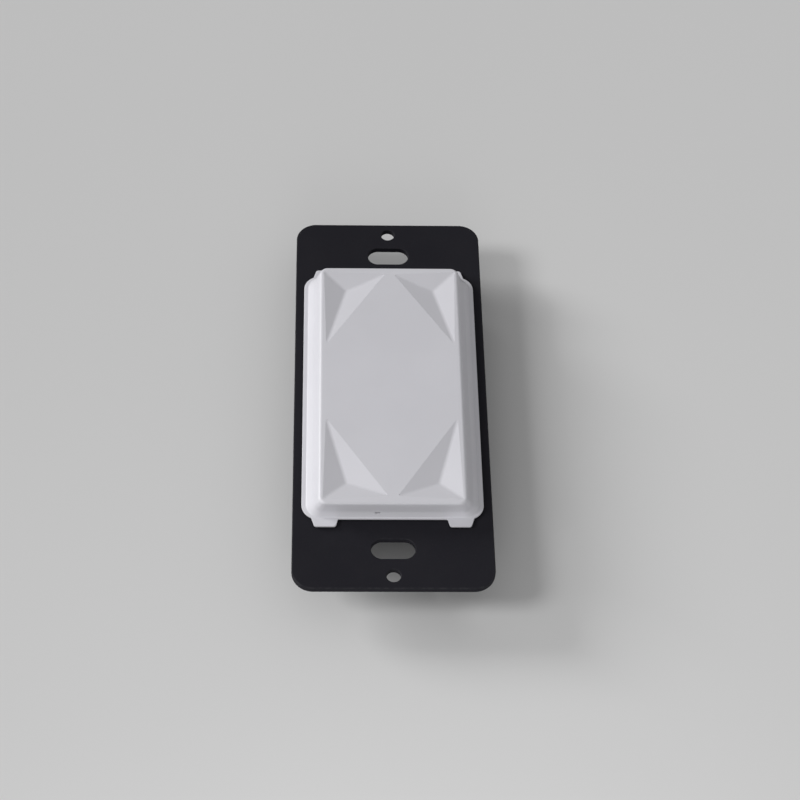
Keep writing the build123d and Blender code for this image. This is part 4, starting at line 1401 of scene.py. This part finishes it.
@dataclass(frozen=True)
class DoorPanel:
    """The battery door, flush in the back of the tray, with its grip grooves.

    Attributes:
        panel: outline of the door's outer sheet, at the back.
        sheet: thickness of the outer sheet.
        edge: size of the round along the back edge.
        step: outline of the inner step, at its outer side.
        step_height: thickness of the inner step.
        sink: mouth of the screw's sunk hole.
        sink_edge: size of the round along that mouth.
        sink_depth: depth of the hole's cone.
        sink_hole: diameter of the hole under the cone.
        groove: length and width of a grip groove.
        groove_edge: size of the round along a groove's mouth.
        groove_taper: how much narrower each side is at a groove's floor.
        grooves: number of grooves.
        groove_y: middle of the grooves.
        groove_spacing: distance between them.
        groove_depth: depth of the grooves.
    """

    panel: Ring = Ring(23.2, 28.2, 2.0, -10.1, y=2.5, steps=8)
    sheet: float = 1.0
    edge: float = 0.2
    step: Ring = Ring(21.0, 21.0, 2.0, -9.1, steps=8)
    step_height: float = 0.8
    sink: Ring = Ring.circle(3.5, -10.1, y=14.1)
    sink_edge: float = 0.06
    sink_depth: float = 0.8
    sink_hole: float = 2.0
    groove: tuple[float, float] = (10.0, 0.6)
    groove_edge: float = 0.05
    groove_taper: float = 0.08
    grooves: int = 4
    groove_y: float = -5.8
    groove_spacing: float = 1.5
    groove_depth: float = 0.3

    def build(self) -> None:
        """Make the door."""
        mesh = bmesh.new()
        back, seat = self.panel.level, self.panel.level + self.sheet
        inside = seat + self.step_height
        skin(mesh, [*reversed(hem(self.panel, 1.0, -1.0, self.edge)), self.panel.at(seat)])
        skin(mesh, [self.step, self.step.at(inside)])
        cone = self.sink.grown((self.sink_hole - self.sink.width) / 2, back + self.sink_depth)
        skin(mesh, [*reversed(hem(self.sink, -1.0, -1.0, self.sink_edge, steps=2)), cone, cone.at(seat)])
        length, width = self.groove
        for number in range(self.grooves):
            y = self.groove_y + (number - (self.grooves - 1) / 2) * self.groove_spacing
            mouth = Ring(length, width, width / 2, back, y=y, steps=5)
            floor = mouth.grown(-self.groove_taper, back + self.groove_depth)
            loops = skin(mesh, [*reversed(hem(mouth, -1.0, -1.0, self.groove_edge, steps=2)), floor])
            bmesh.ops.contextual_create(mesh, geom=loops[-1])
        fill(mesh, back, seat, inside)
        finish_piece(mesh, "door_panel", Body.BASE, Slot.HOUSING, ["battery_door"])


# Snap domes


@dataclass(frozen=True)
class SnapDomes:
    """The two sprung sheet domes under the plungers, which flatten when the cover is pressed.

    Attributes:
        rim: outline of the upper dome, where it stands in its switch.
        bend: ring that its curve leans towards.
        crown: flat middle of the dome, at its top.
        sheet: thickness of the sheet.
        pressed: share of a dome's height that is left at full press; not used.
    """

    rim: Ring = Ring.circle(4.0, -0.5, y=14.0, steps=8)
    bend: Ring = Ring.circle(2.9, 0.05, y=14.0, steps=8)
    crown: Ring = Ring.circle(1.6, 0.1, y=14.0, steps=8)
    sheet: float = 0.1
    pressed: float = 0.55

    def build(self) -> None:
        """Make both domes, each with a mesh of its own."""
        for name, end in (("lower", -1), ("upper", 1)):
            rim, bend, crown = (ring.mirrored(1, end) for ring in (self.rim, self.bend, self.crown))
            outer = [rim, *eased(rim.at(rim.level + self.sheet), bend, crown, 8)]
            lowered = [ring.grown(-self.sheet / 2, ring.level - self.sheet) for ring in outer[1:]]
            mesh = bmesh.new()
            skin(mesh, outer)
            skin(mesh, lowered)
            fill(mesh, rim.level, crown.level, crown.level - self.sheet)
            piece = finish_piece(mesh, f"snap_dome_{name}", Body.BASE, Slot.SPRING, [f"switch_dome_{name}"])
            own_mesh(piece)


# Carried-over nodes


SLOT_NODES: dict[Slot, tuple[str, ...]] = {
    Slot.PLATE: ("mounting_plate",),
    Slot.COVER: ("touch_cover",),
    Slot.PIPE: ("light_pipe",),
    Slot.HOUSING: ("deck", "rear_housing", "battery_door"),
    Slot.BOARD: ("circuit_board",),
    Slot.SWITCH: ("switch_base_lower", "switch_base_upper", "plunger_lower", "plunger_upper"),
    Slot.SHEET: ("switch_frame_lower", "switch_frame_upper", "radio_shield", "crystal"),
    Slot.SPRING: ("switch_dome_lower", "switch_dome_upper"),
    Slot.LAMP: ("indicator_lamp",),
    Slot.CHIP: ("radio_chip",),
    Slot.CERAMIC: ("capacitor_1", "capacitor_2", "capacitor_3", "capacitor_4"),
    Slot.RESERVOIR: ("reservoir_capacitor",),
    Slot.CONTACT: ("antenna", "front_contact", "rear_contact"),
    Slot.HOLDER: ("cell_holder",),
    Slot.CELL: ("coin_cell",),
    Slot.SCREW: ("door_screw", "board_screws", "housing_screws"),
}


def dress_nodes() -> None:
    """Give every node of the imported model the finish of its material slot."""
    for slot in Slot:
        for name in SLOT_NODES[slot]:
            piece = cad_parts[name]
            piece.data.materials.clear()
            piece.data.materials.append(FINISHES[slot].material())
            log.info("node %s: %s", name, FINISHES[slot].name)


# Studio


@dataclass(frozen=True)
class Sun:
    """A soft, far light.

    Attributes:
        name: name of the light.
        azimuth: direction it comes from, in degrees anticlockwise from +X seen from above.
        elevation: its height above the floor, in degrees.
        strength: its strength on a surface that faces it.
        softness: its apparent size, in degrees.
    """

    name: str
    azimuth: float
    elevation: float
    strength: float
    softness: float

    def build(self) -> None:
        """Make the light."""
        data = bpy.data.lights.new(self.name, "SUN")
        data.energy = self.strength
        data.angle = math.radians(self.softness)
        turn, rise = math.radians(self.azimuth), math.radians(self.elevation)
        source = Vector((math.cos(turn) * math.cos(rise), math.sin(turn) * math.cos(rise), math.sin(rise)))
        add_object(self.name, data).rotation_euler = source.to_track_quat("Z", "Y").to_euler()


@dataclass(frozen=True)
class SoftBox:
    """A soft light close to the object, which is brighter on what is nearer.

    Attributes:
        name: name of the light.
        place: its middle, in millimetres.
        size: length of its side, in millimetres.
        power: its power, in watts.
    """

    name: str
    place: tuple[float, float, float]
    size: float
    power: float

    def build(self) -> None:
        """Make the light, turned to the object."""
        data = bpy.data.lights.new(self.name, "AREA")
        data.energy = self.power
        data.size = self.size * MM
        lamp = add_object(self.name, data)
        lamp.location = [place * MM for place in self.place]
        lamp.rotation_euler = Vector(self.place).to_track_quat("Z", "Y").to_euler()


@dataclass(frozen=True)
class Studio:
    """Plain pale floor, soft light and the camera of the photograph.

    Attributes:
        floor_level: height of the floor, under the object's back.
        floor_size: length of the floor's side.
        floor_finish: finish of the floor.
        lights: the lights.
        ambient: strength of the even light from all round.
        camera_place: place of the camera.
        camera_turn: camera's turn about X, Y and Z, in degrees, in the order ZYX.
        camera_range: nearest and farthest distance that the camera sees, in metres.
        focal_pixels: focal length, in pixels of the frame.
        centre_pixel: pixel that the lens axis meets, along X.
    """

    floor_level: float = -10.13
    floor_size: float = 3000.0
    floor_finish: Finish = MattFloor("pale_floor", (0.745, 0.745, 0.745), 0.9, 0.1)
    lights: tuple[Sun | SoftBox, ...] = (
        Sun("low_light", 152.0, 22.0, 1.5, 18.0),
        Sun("high_light", 191.0, 40.0, 0.95, 18.0),
        SoftBox("front_light", (0.0, -240.0, 90.0), 120.0, 0.106),
    )
    ambient: float = 0.3
    camera_place: tuple[float, float, float] = (-14.46, -268.95, 370.7)
    camera_turn: tuple[float, float, float] = (35.92, -1.77, 0.26)
    camera_range: tuple[float, float] = (0.01, 20.0)
    focal_pixels: float = 1979.0
    centre_pixel: float = 389.0

    def build(self) -> None:
        """Make the floor, the lights and the camera."""
        self.floor()
        for light in self.lights:
            light.build()
        self.world()
        self.camera()

    def floor(self) -> None:
        """Lay the floor."""
        mesh = bmesh.new()
        place = Matrix.Translation((0.0, 0.0, self.floor_level * MM))
        bmesh.ops.create_grid(mesh, x_segments=4, y_segments=4, size=self.floor_size * MM / 2, matrix=place)
        data = mesh_data(mesh, "floor")
        sheet = add_object("floor", data)
        data.materials.append(self.floor_finish.material())

    def world(self) -> None:
        """Set the even light from all round."""
        world = bpy.data.worlds.new("studio")
        world.use_nodes = True
        background = world.node_tree.nodes["Background"]
        background.inputs["Color"].default_value = (1.0, 1.0, 1.0, 1.0)
        background.inputs["Strength"].default_value = self.ambient
        bpy.context.scene.world = world
        bpy.context.scene.view_settings.view_transform = "Standard"

    def camera(self) -> None:
        """Place the camera at the photograph's viewing angle."""
        data = bpy.data.cameras.new("camera")
        data.sensor_width = SENSOR_WIDTH_MM
        data.lens = self.focal_pixels / FRAME_PIXELS * SENSOR_WIDTH_MM
        data.shift_x = (FRAME_PIXELS / 2 - self.centre_pixel) / FRAME_PIXELS
        data.clip_start, data.clip_end = self.camera_range
        camera = add_object("camera", data)
        camera.rotation_mode = "ZYX"
        camera.rotation_euler = [math.radians(turn) for turn in self.camera_turn]
        camera.location = [place * MM for place in self.camera_place]
        bpy.context.scene.camera = camera


def main() -> None:
    """Dress the carried-over nodes, then build each sub-assembly and the studio in order."""
    logging.basicConfig(level=logging.INFO, format="%(name)s: %(message)s")
    dress_nodes()
    for assembly in (FacetedCover(), StrapPlate(), SnapDomes(), DoorPanel(), RearFasteners()):
        log.info("building %s", type(assembly).__name__)
        assembly.build()
    Studio().build()


if __name__ == "__main__":
    main()
